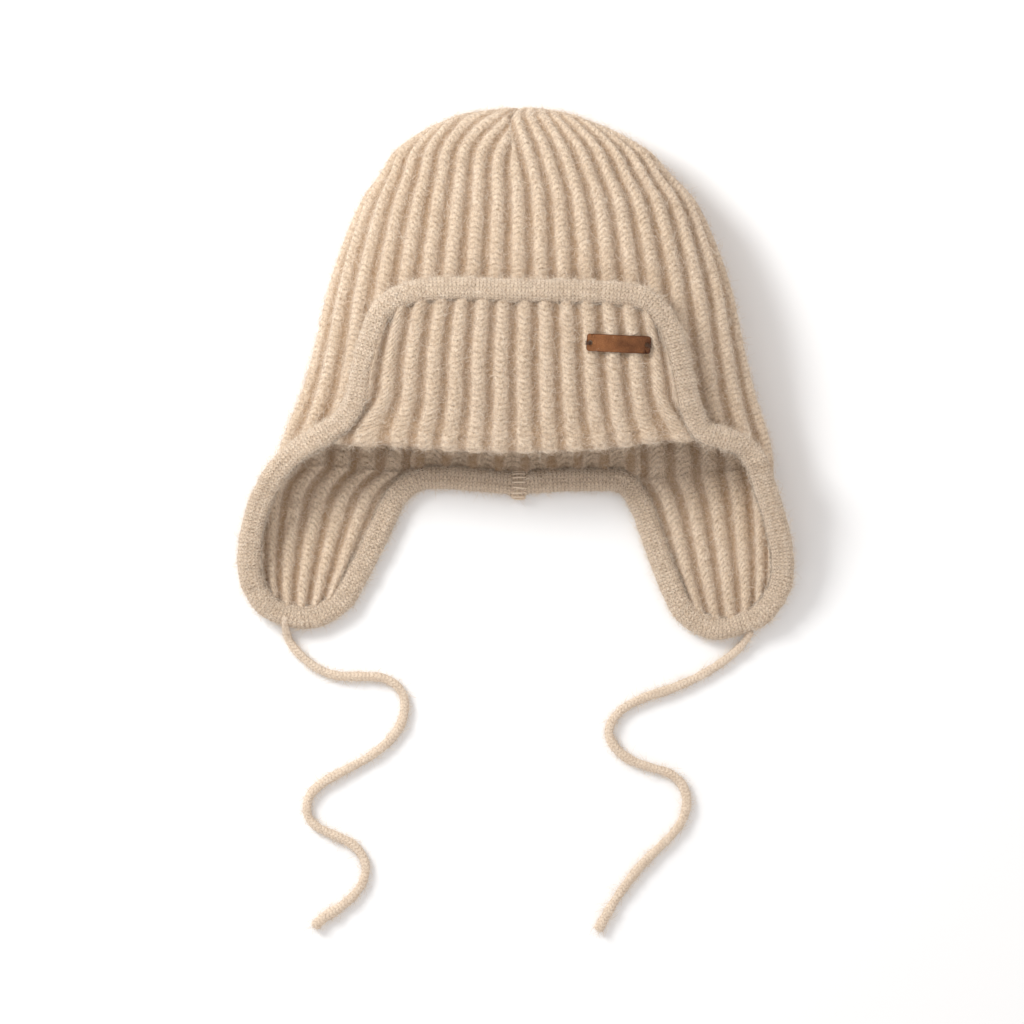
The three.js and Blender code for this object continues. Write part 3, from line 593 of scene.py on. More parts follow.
def strayStitches(wire, kind):
    # two slanting legs to a stitch, each a little off its place: how high the yarn stands, how far it
    # is from its wale's middle, how far along the wale it is, and the noise that moves it there
    across, along = readMark(wire)
    wander = smoothNoise(wire, kind["wander"][0]) - 0.5
    drift = smoothNoise(wire, kind["drift"][0]) - 0.5
    side = abs((across + drift * kind["drift"][1]).fraction() - 0.5)
    slanted = along * kind["rows"] + wander * kind["wander"][1] - side * kind["slant"]
    leg = abs(slanted.fraction() - 0.5) * 2
    rounded = (1 - leg * leg).most(0.0) ** anyYarn["roundness"]
    return rounded, side, along, wander


def endYarn(wire, kind, height, shade):
    endFinish(wire, shade, anyYarn["roughness"], height, anyYarn["bump"], kind["sheen"], anyYarn["specular"])


def knitFinish():
    material, wire = startFinish("knit")
    rounded, side, along, wander = strayStitches(wire, yarn)
    rounded = 1 - (1 - rounded) * (1 - side.rise(*yarn["legSides"]) * yarn["legEdge"])
    dimple = 1 - (1 - side.rise(*yarn["dimpleSides"])) * (1 - rounded) * yarn["dimple"]
    ridge = 1 - side.rise(*yarn["ribSides"])
    purl = abs((along + wander * yarn["purlWander"] + 0.5).fraction() - 0.5) * yarn["purlHeight"]
    stitch = rounded * dimple * ridge + purl * (1 - ridge)
    fibres = yarnFibres(wire, yarn["coarseFibres"])
    height = stitch * yarn["stitchHeight"] + fibres * yarn["fibreHeight"]
    # painted shade: the colour leans to groove where the stitch relief is low (between the legs, at the
    # dimples and on the purl bumps) and to ridge on the ribs; the fibre noise adds random tone
    paintedShadeAndFibres = stitch * yarn["stitchShade"] + ridge * yarn["ridgeShade"] + yarn["baseShade"]
    paintedShadeAndFibres = (paintedShadeAndFibres + fibres * yarn["fibreShade"]).clamped()
    shade = paintedShadeAndFibres.blend(yarn["groove"], yarn["ridge"])
    # painted shade: the troughs between ribs take the darker trough colour
    shade = (ridge * (1 - yarn["troughShade"]) + yarn["troughShade"]).blend(yarn["trough"], shade)
    paler = wire.node("ShaderNodeHueSaturation", {}, {**yarn["mottle"], "Color": shade})
    patches = smoothNoise(wire, yarn["mottleScale"], detail=3.0).rise(*yarn["mottleEdge"])
    endYarn(wire, yarn, height, patches.blend(shade, paler))
    return material


def bindingFinish():
    material, wire = startFinish("binding")
    rounded, side = strayStitches(wire, bindingYarn)[:2]
    ridge = 1 - side.rise(*bindingYarn["ribSides"]) * (1 - rounded * bindingYarn["legEdge"])
    stitch = (rounded * bindingYarn["legShare"] + (1 - bindingYarn["legShare"])) * ridge
    fibres = yarnFibres(wire, bindingYarn["coarseFibres"])
    height = stitch * bindingYarn["stitchHeight"] + fibres * bindingYarn["fibreHeight"]
    # painted shade: darker between the stitch legs and on the sides of the wales, where the relief is low;
    # the fibre noise adds random tone
    paintedShadeAndFibres = stitch * bindingYarn["stitchShade"] + bindingYarn["baseShade"]
    paintedShadeAndFibres = (paintedShadeAndFibres + fibres * bindingYarn["fibreShade"]).clamped()
    endYarn(wire, bindingYarn, height, paintedShadeAndFibres.blend(bindingYarn["groove"], bindingYarn["ridge"]))
    return material


def tieFinish():
    material, wire = startFinish("tie")
    rounded, side = strayStitches(wire, tieYarn)[:2]
    dimple = side.rise(*tieYarn["dimpleSides"]) * tieYarn["dimple"] + (1 - tieYarn["dimple"])
    stitch = rounded * dimple
    fibres = yarnFibres(wire, tieYarn["coarseFibres"])
    height = stitch * tieYarn["stitchHeight"] + fibres * tieYarn["fibreHeight"]
    # painted shade: darker between the stitch legs and at the dimples, where the relief is low; the fibre
    # noise adds random tone
    paintedShadeAndFibres = stitch * tieYarn["stitchShade"] + tieYarn["baseShade"]
    paintedShadeAndFibres = (paintedShadeAndFibres + fibres * tieYarn["fibreShade"]).clamped()
    endYarn(wire, tieYarn, height, paintedShadeAndFibres.blend(tieYarn["groove"], tieYarn["ridge"]))
    return material


knit = knitFinish()
binding = bindingFinish()
tie = tieFinish()
tieLeft = tiePiece("tie_left_cord", tieRouteLeft, tie, seed=21)
tieRight = tiePiece("tie_right_cord", tieRouteRight, tie, seed=22)
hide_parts("tie_left")
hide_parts("tie_right")
print("ties laid")

crown = {
    "depth": 0.171,
    "halfWidth": 0.1245,
    "thickness": 0.052,
    "top": (0.0038, 0.1325),
    "equator": 0.42,
    "roundness": 2.6,
    "floorShare": 0.6,
    "columnsPerRib": 12,
    "outerRows": 96,
    "rimRows": 4,
    "rimBulge": 0.0001,
    "innerRows": 40,
    "bunching": 1.5,  # above 1 the rows lie closer towards the top
    "floorGap": 0.00005,
    "fuzz": 90000,
    "baldRows": 8,
    "dartTop": 0.1,
    "dartEnd": 0.5,
    "dartAside": 0.5,
    "dartRibs": 2.6,
    "dartWidth": 3.2,
    "dartGroove": 0.3,
    "dartRidge": 0.45,
    "dartRise": 0.0011,
    "dartBend": 1.5,
    "dartFade": (0.08, 0.22),
    "grooveFade": 0.8,
    "gathers": 9,
    "gatherPlace": 0.28,
    "gatherWidth": 0.1,
    "gatherWaver": 0.35,
    "gatherDepth": 0.0009,
    "gatherShift": 0.19,
    "ribFade": 0.3,
    "topRelief": 0.2,
    "reliefFade": (0.05, 0.42),
}
fabric = {
    "wall": 0.003,
    "ribDepth": 0.0024,
    "troughDepth": 0.0031,
    "gap": 0.0003,
    "bindingTuck": 0.0016,
    "earTuck": 0.0032,
    "flapRibs": 14,
    "gapRibs": 2,
    "earRibs": 7,
    "neckRibs": 8,
    "stitch": 0.0027,
    "ribShape": (0.06, 1.02),
}
ribCount = fabric["flapRibs"] + 2 * fabric["gapRibs"] + 2 * fabric["earRibs"] + fabric["neckRibs"]
rimY = crown["top"][1] - crown["depth"]
fabricHalf = (fabric["wall"] + fabric["ribDepth"]) / 2

# depth is a share of the crown's depth, half and lean of its half width, low and high of its thickness
crownSections = np.array([
    # depth, half, lean, low, high
    (0, 0, 0, 0.42, 0.42),
    (0.023, 0.237, -0.033, 0.25, 0.6),
    (0.058, 0.361, -0.028, 0.13, 0.7),
    (0.129, 0.514, -0.012, 0.03, 0.81),
    (0.199, 0.59, 0.002, 0, 0.88),
    (0.269, 0.667, 0.013, 0, 0.93),
    (0.409, 0.755, 0.018, 0, 0.99),
    (0.55, 0.819, 0.019, 0, 1),
    (0.69, 0.863, 0.017, 0, 0.96),
    (0.83, 0.916, 0.012, 0, 0.87),
    (1, 1, 0.002, 0, 0.76),
    (1.15, 1.01, 0, 0, 0.74),
])


def sectionValue(column, depth):
    knots = np.sqrt(crownSections[:, 0])
    values = crownSections[:, column]
    slopes = np.gradient(values)
    slopes[1:-1] = (values[2:] - values[:-2]) / (knots[2:] - knots[:-2])
    slopes[0] = (values[1] - values[0]) / (knots[1] - knots[0])
    slopes[-1] = (values[-1] - values[-2]) / (knots[-1] - knots[-2])
    place = np.sqrt(np.maximum(depth, 0))
    row = np.clip(np.searchsorted(knots, place) - 1, 0, len(knots) - 2)
    span = knots[row + 1] - knots[row]
    t = (place - knots[row]) / span
    rising = (2 * t ** 3 - 3 * t ** 2 + 1) * values[row] + (t ** 3 - 2 * t ** 2 + t) * span * slopes[row]
    return rising + (3 * t ** 2 - 2 * t ** 3) * values[row + 1] + (t ** 3 - t ** 2) * span * slopes[row + 1]


def crownSection(depth):
    low = np.maximum(sectionValue(3, depth), 0) * crown["thickness"]
    high = sectionValue(4, depth) * crown["thickness"]
    half = np.maximum(sectionValue(1, depth), 0) * crown["halfWidth"]
    middle = crown["top"][0] + sectionValue(2, depth) * crown["halfWidth"]
    return half, middle, low, high, lerp(low, high, crown["equator"])


tableRows = 240
tableColumns = 400
tableDepth = 1.2
quarterSteps = 29


def crownTable():
    # the crown's outer face over its ribs, for even steps of turn and of the root of depth
    angle = np.linspace(0, np.pi / 2, quarterSteps)
    turns = np.linspace(0, 1, tableColumns + 1)
    share = np.where(turns <= 0.5, turns, 1 - turns) * 2
    sign = np.where(turns <= 0.5, 1, -1)
    power = 2 / crown["roundness"]
    table = np.zeros((tableRows + 1, tableColumns + 1, 3))
    for k in range(tableRows + 1):
        depth = (k / tableRows) ** 2 * tableDepth
        half, middle, low, high, equator = crownSection(np.array(depth))
        flat = crown["floorShare"] * half
        sideX = flat + (half - flat) * np.sin(angle)
        sideZ = low + (equator - low) * (1 - np.cos(angle))
        frontX = half * np.maximum(np.cos(angle[1:]), 0) ** power
        frontZ = equator + (high - equator) * np.sin(angle[1:]) ** power
        lineX = np.concatenate([[0], sideX, frontX])
        lineZ = np.concatenate([[low], sideZ, frontZ])
        lengths = runLengths(np.stack([lineX, lineZ], axis=-1))
        wanted = share * lengths[-1]
        table[k, :, 0] = middle + sign * np.interp(wanted, lengths, lineX)
        table[k, :, 1] = crown["top"][1] - depth * crown["depth"]
        table[k, :, 2] = np.interp(wanted, lengths, lineZ)
    return table


crownPlaces = crownTable()
around = np.gradient(crownPlaces, axis=1)
around[:, 0] = crownPlaces[:, 1] - crownPlaces[:, -2]
around[:, -1] = around[:, 0]
crownNormals = normalise(np.cross(around, np.gradient(crownPlaces, axis=0)))
crownNormals[0] = (0, 1, 0)


def readTable(table, turn, depth):
    turn = np.asarray(turn, dtype=float)
    row = np.sqrt(np.maximum(depth, 0) / tableDepth) * tableRows
    column = (turn % 1) * tableColumns
    j = np.clip(np.floor(row).astype(int), 0, tableRows - 1)
    i = np.clip(np.floor(column).astype(int), 0, tableColumns - 1)
    v = (row - j)[..., None]
    u = (column - i)[..., None]
    above = lerp(table[j, i], table[j, i + 1], u)
    below = lerp(table[j + 1, i], table[j + 1, i + 1], u)
    return lerp(above, below, v)


def crownPoint(turn, depth):
    return readTable(crownPlaces, turn, depth)


def crownNormal(turn, depth):
    return normalise(readTable(crownNormals, turn, depth))


def insideKnit(turn, depth):
    # the middle of the crown's knit, under its outer face
    return crownPoint(turn, depth) - crownNormal(turn, depth) * (fabric["wall"] + fabric["troughDepth"]) / 2


def crownFront(x, y):
    # the height of the crown's front seen from above
    half, middle, low, high, equator = crownSection((crown["top"][1] - y) / crown["depth"])
    share = np.minimum(np.abs(x - middle) / np.maximum(half, 1e-9), 1)
    bow = (1 - share ** crown["roundness"]) ** (1 / crown["roundness"])
    return equator + (high - equator) * bow


steepest = 0.38
slopeStep = 0.001


def crownSlope(x, y):
    slopeX = (crownFront(x + slopeStep, y) - crownFront(x - slopeStep, y)) / (2 * slopeStep)
    slopeY = (crownFront(x, y + slopeStep) - crownFront(x, y - slopeStep)) / (2 * slopeStep)
    length = np.hypot(slopeX, slopeY)
    cut = np.minimum(steepest / np.maximum(length, 1e-9), 1)
    return slopeX * cut, slopeY * cut


def seatHeight(x, y, lift):
    slopeX, slopeY = crownSlope(x, y)
    return crownFront(x, y) + lift * np.sqrt(1 + slopeX ** 2 + slopeY ** 2)


edge = {
    "width": 0.0115,
    "thickness": 0.008,
    "square": 0.9,  # below 1 the band's cross-section is fuller than round
    "tilt": 0.12,
    "flapHalfWidth": 0.08,
    "flapHeight": 0.079,
    "leftEar": 0.0835,
    "rightEar": 0.0895,
    "neckDrop": 0.015,
    "around": 28,
    "rowsPerWale": 5,
    "wale": 0.0019,
    "waleRelief": 0.00009,
    "waleSide": 0.6,
    "unevenness": 0.00025,
    "bumpRows": 8,
    "bumpBlend": 20,
    "sway": ((0.03, 61, 0), (0.02, 173, 2)),  # share of the thickness, pace and start of each wave
    "groove": 0.0006,
    "grooveWidth": 0.22,
    "fill": 0.8,
    "pinchLeft": 0.0006,
    "pinchRight": 0.0026,
    "pinchLength": 0.0085,
    "pinchNarrow": 0.5,
    "fineSteps": 6000,
    "planStep": 0.0001,
    "fuzz": 38000,
}
halfWidth = edge["width"] / 2
halfThickness = edge["thickness"] / 2
flapX = edge["flapHalfWidth"]
flapY = edge["flapHeight"]
crownX = crown["halfWidth"]

# Places on the binding's middle from the front to the neck, in groups with the width and the height
# that they are shares of. Each has across, along, height (0 on the crown), leave and mark, and leave
# is the angle in degrees at which the knit leaves the binding there.
edgeLeft = [
    (flapX, flapY, [
        (0, 1, 0, 0, ""), (0.53, 1.005, 0, 0, ""), (0.72, 0.965, 0, 0, ""),
        (0.85, 0.86, 0, 0, "corner"), (0.915, 0.7, 0, 0, ""), (0.965, 0.52, 0, 0, ""),
        (1, 0.33, 0, 0, ""), (1.075, 0.196, 0, 0, "foot"),
    ]),
    (crownX, flapY, [
        (0.771, 0.1, 0, 60, ""),
    ]),
    (crownX, edge["leftEar"], [
        (0.875, 0, 0, 90, ""), (0.968, -0.138, 0.55, 80, "curl"), (1.04, -0.347, 0.41, 60, ""),
        (1.076, -0.605, 0.29, 40, ""), (1.06, -0.82, 0.19, 25, "tipOuter"),
        (0.97, -0.97, 0.12, 10, ""), (0.827, -1, 0.09, 5, ""), (0.715, -0.91, 0.085, 0, "tipInner"),
        (0.627, -0.7, 0.085, 0, ""), (0.554, -0.479, 0.085, 0, ""),
        (0.486, -0.275, 0.085, 0, "neckEnd"),
    ]),
    (crownX, edge["neckDrop"], [
        (0.41, -1.01, 0.085, 0, ""), (0.289, -0.913, 0.085, 0, ""), (0.12, -1.03, 0.085, 0, ""),
        (0, -1.1, 0.085, 0, "neckMiddle"),
    ]),
]
edgeRight = [
    (flapX, flapY, [
        (0.6, 0.98, 0, 0, ""), (0.8, 0.94, 0, 0, ""), (0.92, 0.81, 0, 0, "corner"),
        (0.98, 0.66, 0, 0, ""), (1.03, 0.46, 0, 0, ""), (1.075, 0.27, 0, 0, ""),
        (1.155, 0.12, 0, 0, "foot"),
    ]),
    (crownX, flapY, [
        (0.826, 0.07, 0, 60, ""),
    ]),
    (crownX, edge["rightEar"], [
        (0.895, 0.025, 0, 90, ""), (0.952, -0.06, 0.65, 80, "curl"),
        (0.995, -0.225, 0.52, 65, ""), (1.035, -0.4, 0.41, 50, ""), (1.063, -0.6, 0.3, 30, ""),
        (1.052, -0.77, 0.2, 20, "tipOuter"), (0.952, -0.95, 0.12, 10, ""), (0.812, -1, 0.09, 5, ""),
        (0.685, -0.92, 0.085, 0, "tipInner"), (0.6, -0.7, 0.085, 0, ""), (0.543, -0.48, 0.085, 0, ""),
        (0.488, -0.282, 0.085, 0, "neckEnd"),
    ]),
    (crownX, edge["neckDrop"], [
        (0.43, -1.09, 0.085, 0, ""), (0.283, -0.99, 0.085, 0, ""), (0.12, -1.03, 0.085, 0, ""),
    ]),
]


def halfEdge(sign, side, groups):
    rows = []
    for wide, tall, places in groups:
        for across, along, height, leave, mark in places:
            rows.append((sign * across * wide, rimY + along * tall, height, leave, side + " " + mark))
    return rows


edgeRows = halfEdge(-1, "left", edgeLeft) + halfEdge(1, "right", edgeRight)[::-1]
edgeNames = [row[4] for row in edgeRows]
edgeCount = len(edgeRows)
edgeSpots = np.array([(row[0], row[1], 0) for row in edgeRows])
edgeHeight = np.array([row[2] for row in edgeRows]) * crown["thickness"]
edgeOnCrown = np.array([float(row[2] == 0) for row in edgeRows])
edgeLeave = np.radians(np.array([row[3] for row in edgeRows], dtype=float))


def edgeMark(name):
    return edgeNames.index(name) / edgeCount


neckMiddle = edgeMark("left neckMiddle")


def edgePlan(share):
    place = (np.asarray(share, dtype=float) % 1) * edgeCount
    i = np.floor(place).astype(int) % edgeCount
    corners = [edgeSpots[(i + k) % edgeCount] for k in (-1, 0, 1, 2)]
    return centripetal(*corners, place - np.floor(place))


def edgeAt(share):
    # the binding's middle, its directions and where the knit starts
    share = np.asarray(share, dtype=float) % 1
    middle = edgePlan(share)
    along = normalise(edgePlan(share + edge["planStep"]) - edgePlan(share - edge["planStep"]))
    inward = normalise(np.cross(np.array([0, 0, 1.0]), along))
    place = share * edgeCount
    i = np.floor(place).astype(int) % edgeCount
    following = (i + 1) % edgeCount
    part = place - np.floor(place)
    onCrown = lerp(edgeOnCrown[i], edgeOnCrown[following], part)
    leave = lerp(edgeLeave[i], edgeLeave[following], part)
    x = middle[..., 0]
    y = middle[..., 1]
    slopeX, slopeY = crownSlope(x, y)
    onTop = seatHeight(x, y, halfThickness + fabric["gap"])
    start = np.where(edgeOnCrown[i] > 0, onTop, edgeHeight[i])
    end = np.where(edgeOnCrown[following] > 0, onTop, edgeHeight[following])
    middle = middle.copy()
    middle[..., 2] = lerp(start, end, part)
    tilt = onCrown * (slopeX * inward[..., 0] + slopeY * inward[..., 1])
    tilt = tilt - (1 - onCrown) * np.tan(leave * edge["tilt"])
    width = inward.copy()
    width[..., 2] += tilt
    width = normalise(width)
    thick = normalise(np.cross(along, width))
    tuck = lerp(fabric["earTuck"], fabric["bindingTuck"], onCrown)
    reach = np.cos(leave) * (halfWidth - tuck + fabricHalf * np.sin(leave))
    sink = np.sin(leave) * (halfThickness + fabric["gap"] + fabricHalf)
    knitStart = middle + width * reach[..., None] - thick * sink[..., None]
    return {"middle": middle, "along": along, "width": width, "thick": thick, "start": knitStart}


def edgeSamples(start, end, name, count=60):
    return edgeAt(np.linspace(start, end, count + 1))[name]


def edgeStretch(start, end):
    points = edgeSamples(start, end, "start")
    lengths = runLengths(points)

    def at(share):
        wanted = np.asarray(share, dtype=float) * lengths[-1]
        return np.stack([np.interp(wanted, lengths, points[:, k]) for k in range(3)], axis=-1)

    return at


def edgeNear(point, start, end, name, count=200):
    # where along the edge it comes nearest to a point, seen from above
    shares = np.linspace(start, end, count + 1)
    places = edgeAt(shares)[name]
    return shares[np.argmin(fromAbove(places, point))]


def lineAt(points, x):
    order = np.argsort(points[:, 0])
    return np.interp(x, points[order, 0], points[order, 1])


flap = {
    "foldRoll": 0.009,
    "foldSag": 0.006,
    "columnsPerRib": 12,
    "foldRows": 34,
    "panelRows": 62,
    "tuckSide": 0.0085,
    "tuckDown": 0.0025,
    "tuckUnder": 0.002,
    "tuckFrom": 0.72,
    "tuckRows": 0.34,
    "tuckTurn": 1.2,
    "foldCalm": 0.65,
    "calmRows": 0.18,
    "fuzz": 30000,
}
flapEnd = fabric["flapRibs"] / 2 / ribCount
gapEnd = flapEnd + fabric["gapRibs"] / ribCount
earEnd = gapEnd + fabric["earRibs"] / ribCount
gapLines = {
    "left": edgeSamples(edgeMark("left foot"), edgeMark("left curl"), "middle"),
    "right": edgeSamples(edgeMark("right foot"), edgeMark("right curl"), "middle"),
}
neckLine = edgeSamples(edgeMark("left neckEnd"), edgeMark("right neckEnd"), "start")


def foldY(x):
    share = x / flapX
    return rimY - flap["foldSag"] / 2 + flap["foldSag"] * share * share


rimSearch = (0.6, 1.2)
searchSteps = 24
sameTurn = 1e-6


def depthWhere(turn, endY):
    # how deep the crown reaches a line that crosses it
    low, high = rimSearch
    for step in range(searchSteps):
        depth = (low + high) / 2
        point = crownPoint(turn, depth)
        if point[1] > endY(point[0]):
            low = depth
        else:
            high = depth
    return (low + high) / 2


def findRim(turn):
    fromFront = abs(turn - 0.5)
    side = "right" if turn < 0.5 else "left"
    sign = -1 if turn < 0.5 else 1
    if fromFront < flapEnd - sameTurn:
        return depthWhere(turn, lambda x: foldY(x) + flap["foldRoll"])
    if fromFront < gapEnd + sameTurn:
        return depthWhere(turn, lambda x: lineAt(gapLines[side], x))
    if fromFront < earEnd - sameTurn:
        share = (fromFront - gapEnd) / (earEnd - gapEnd)
        return lerp(findRim(0.5 + sign * gapEnd), findRim(0.5 + sign * earEnd), share)
    return depthWhere(turn, lambda x: lineAt(neckLine, x))


rimTurns = np.arange(2 * ribCount + 1) / (2 * ribCount)
rimFound = np.array([findRim(turn % 1) for turn in rimTurns])


def rimDepth(turn):
    return np.interp(np.asarray(turn, dtype=float) % 1, rimTurns, rimFound)


def ribFall(place):
    # 0 on a rib and 1 in the trough between two, with ribs wider than the troughs
    side = np.abs((place % 1) - 0.5) * 2
    return smoothStep(side, *fabric["ribShape"])


def towardsBack(turn, depth):
    # the ribs meet behind the crown's top edge, where the gathered top has rolled under the hat
    root = np.sqrt(depth)
    angle = turn * 2 * np.pi
    moved = crown["gatherShift"] * (1 - np.minimum(root, 1)) ** 2
    across = root * np.sin(angle)
    ahead = -root * np.cos(angle) - moved
    return (np.arctan2(across, -ahead) / (2 * np.pi)) % 1, across ** 2 + ahead ** 2


def bell(distance, width):
    return np.exp(-(distance / width) ** 2)


def dartedTurn(turns, depth):
    # near the top the ribs left of the dart run into it one after another
    root = np.sqrt(depth)
    near = 1 - smoothStep(root, crown["dartTop"], crown["dartEnd"])
    seam = 0.5 + crown["dartAside"] / ribCount
    aside = turns - seam
    taken = bell(aside * ribCount, crown["dartWidth"])
    left = crown["dartRibs"] / ribCount * near ** crown["dartBend"] * taken
    pattern = turns - crown["dartAside"] / ribCount * near * taken
    pattern = pattern + np.where(aside > sameTurn, left, 0)
    groove = near ** 0.5 * bell(aside * ribCount, crown["dartGroove"])
    ridge = near * bell((aside + 0.5 / ribCount) * ribCount, crown["dartRidge"])
    ridge = ridge * smoothStep(root, *crown["dartFade"])
    return pattern, groove, ridge


def crownPiece():
    columns = ribCount * crown["columnsPerRib"]
    turn = np.linspace(0, 1, columns + 1)
    outerShare = np.linspace(0, 1, crown["outerRows"] + 1) ** crown["bunching"]
    innerShare = np.linspace(1, 0, crown["innerRows"] + 1) ** crown["bunching"]
    rim = rimDepth(turn)

    def face(shares, sink):
        depth = shares[:, None] * rim[None, :]
        turns = np.broadcast_to(turn, depth.shape)
        placeTurns, placeDepth = towardsBack(turns, depth)
        point = crownPoint(placeTurns, placeDepth)
        normal = crownNormal(placeTurns, placeDepth)
        fade = np.minimum(np.sqrt(depth) / crown["ribFade"], 1)
        fade = fade * lerp(crown["topRelief"], 1, smoothStep(np.sqrt(placeDepth), *crown["reliefFade"]))
        gathered = bell(np.sqrt(depth) - crown["gatherPlace"], crown["gatherWidth"])
        waver = crown["gatherWaver"] * np.sin(2 * np.pi * 3 * turns)
        folds = 0.5 + 0.5 * np.cos(2 * np.pi * (crown["gathers"] * turns + waver))
        clear = np.minimum(point[..., 2] / (2 * fabric["ribDepth"]), 1)
        pattern, groove, ridge = dartedTurn(turns, placeDepth)
        fall = np.maximum(ribFall(pattern * ribCount), groove)
        if sink > 0:
            clear = 1
            ridge = 0
            fall = 1 - ribFall(turns * ribCount + 0.5)
        marks = np.stack([pattern * ribCount, runLengths(point) / fabric["stitch"]], axis=-1)
        fall = fall * fabric["troughDepth"] * np.maximum(fade, groove * crown["grooveFade"])
        fall = fall - ridge * crown["dartRise"] + folds * gathered * crown["gatherDepth"]
        point = point - normal * (fall * clear + sink)[..., None]
        return point, marks

    outer, outerMarks = face(outerShare, 0.0)
    rimStitches = outerMarks[-1, :, 1]
    inner, innerMarks = face(innerShare[::-1], fabric["wall"])
    inner = inner[::-1]
    innerMarks = innerMarks[::-1]
    angle = np.linspace(0, np.pi, crown["rimRows"] + 1)[1:-1]
    outwards = normalise(outer[-1] - outer[-4])
    middle = (outer[-1] + inner[0]) / 2
    across = (outer[-1] - inner[0]) / 2
    rimPoints = middle[None] + across[None] * np.cos(angle)[:, None, None]
    rimPoints = rimPoints + outwards[None] * (np.sin(angle) * crown["rimBulge"])[:, None, None]
    rimMarks = np.broadcast_to(outerMarks[-1], rimPoints.shape[:2] + (2,))
    spots = np.concatenate([outer, rimPoints, inner])
    marks = np.concatenate([outerMarks, rimMarks, innerMarks])
    spots[:, -1] = spots[:, 0]
    spots[0] = spots[0].mean(axis=0)
    spots[-1] = spots[-1].mean(axis=0)
    spots[..., 2] = np.maximum(spots[..., 2], crown["floorGap"])
    piece = gridPiece("crown_knit", spots, marks, knit)
    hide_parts("crown")
    addFuzz("crown", outer[crown["baldRows"]:], crown["fuzz"], seed=11)
    return turn, rimStitches


rimTurn, rimStitches = crownPiece()
print("crown knitted")


ear = {
    "columnsPerRib": 12,
    "rows": 60,
    "join": 0.25,
    "leadRows": 14,
    "rimThicken": 0.35,
    "leadStart": 0.82,
    "leadLift": 0.0002,
    "leadSink": 0.0013,
    "leadFade": 8,
    "innerSide": 0.93,
    "gussetEnd": 0.3,
    "gussetRim": 30,
    "gussetBorder": 40,
    "gussetColumns": 80,
    "gussetRows": 10,
    "gussetWall": 0.0016,
    "gussetRise": 0.4,
    "gussetMark": 0.7,
    "gussetStep": 8,
    "fuzz": 13000,
}
cloth = {
    "joinRows": 8.0,  # over these rows the cloth turns from the crown's direction to its own
    "thinSide": 8,
    "thinRows": 2.0,
    "hiddenWall": 0.3,
    "thickRows": (2, 16),
}


def clothPiece(name, surface, ribs, turns, relief, fuzzCount, seed, lead=0, bare=None):
    # surface holds the middle of the cloth for each row and column; both faces meet at its borders,
    # and the row after lead runs on from the crown's rim at the given turns
    rows = surface.shape[0] - 1
    columns = surface.shape[1] - 1
    share = np.linspace(0, 1, columns + 1)
    normal = faceNormals(surface)
    crownSide = -crownNormal(*towardsBack(turns, rimDepth(turns)))
    pastRim = np.arange(rows + 1) - lead
    joined = np.clip(1 - pastRim / cloth["joinRows"], 0, 1)[:, None, None]
    normal = normalise(lerp(normal, crownSide[None], joined))
    up = 0.5 - ribFall(share * ribs + 0.5)
    shift = up[None, :] * fabric["troughDepth"] * relief[:, None]
    fromSide = np.minimum(share, 1 - share) * ribs * cloth["thinSide"]
    fromEnd = (rows - np.arange(rows + 1)) / cloth["thinRows"]
    thin = np.minimum(np.minimum(fromSide[None, :], fromEnd[:, None]), 1)
    half = fabric["wall"] / 2 * np.sqrt(1 - (1 - thin) ** 2)
    upper = surface + normal * (shift + half)[..., None]
    thicker = ear["rimThicken"] * (1 - smoothStep(pastRim, *cloth["thickRows"])) if lead else 0 * pastRim
    wall = 2 * half * np.where(pastRim < 0, cloth["hiddenWall"], 1 + thicker)[:, None]
    lower = upper - normal * wall[..., None]
    upper[..., 2] = np.maximum(upper[..., 2], wall + floorGap)
    lower[..., 2] = np.maximum(lower[..., 2], floorGap)
    lengths = runLengths(surface)
    run = (lengths - lengths[lead]) / fabric["stitch"] + np.interp(turns, rimTurn, rimStitches)
    marks = gridMarks(share * ribs + 0.5, run)
    spots = np.concatenate([upper, lower[::-1][1:], upper[:1]])
    allMarks = np.concatenate([marks, marks[::-1][1:], marks[:1]])
    addFuzz(name, upper, fuzzCount, seed, bare)
    return gridPiece(name + "_knit", spots, allMarks, knit)


def patch(bottom, top, left, right, a, b):
    # a surface between four lines that meet at its corners
    a3 = a[..., None]
    b3 = b[..., None]
    zero = np.zeros(())
    one = np.ones(())
    spots = bottom(a) * (1 - b3) + top(a) * b3 + left(b) * (1 - a3) + right(b) * a3
    spots = spots - bottom(zero) * (1 - a3) * (1 - b3) - bottom(one) * a3 * (1 - b3)
    return spots - top(zero) * (1 - a3) * b3 - top(one) * a3 * b3


def knitMiddle(turn):
    # the middle of the crown's knit at its rim
    return insideKnit(*towardsBack(turn, rimDepth(turn)))


flapLeft = edgeStretch(edgeMark("left foot"), edgeMark("left corner"))
flapRight = edgeStretch(edgeMark("right foot"), edgeMark("right corner"))
flapTop = edgeStretch(edgeMark("left corner"), edgeMark("right corner") - 1)


def flapFoot(a):
    a = np.asarray(a, dtype=float)
    point = lerp(flapLeft(0), flapRight(0), a[..., None])
    ends = (2 * a - 1) ** 2
    point[..., 1] = lerp(foldY(point[..., 0]) + flap["foldRoll"], point[..., 1], ends ** 2)
    seat = seatHeight(point[..., 0], point[..., 1], fabric["gap"] + fabricHalf)
    point[..., 2] = lerp(seat, point[..., 2], ends ** 4)
    return point


def flapPanel(a, b):
    point = patch(flapFoot, flapTop, flapLeft, flapRight, a, b)
    seat = seatHeight(point[..., 0], point[..., 1], fabric["gap"] + fabricHalf)
    point[..., 2] = np.maximum(point[..., 2], seat)
    return point


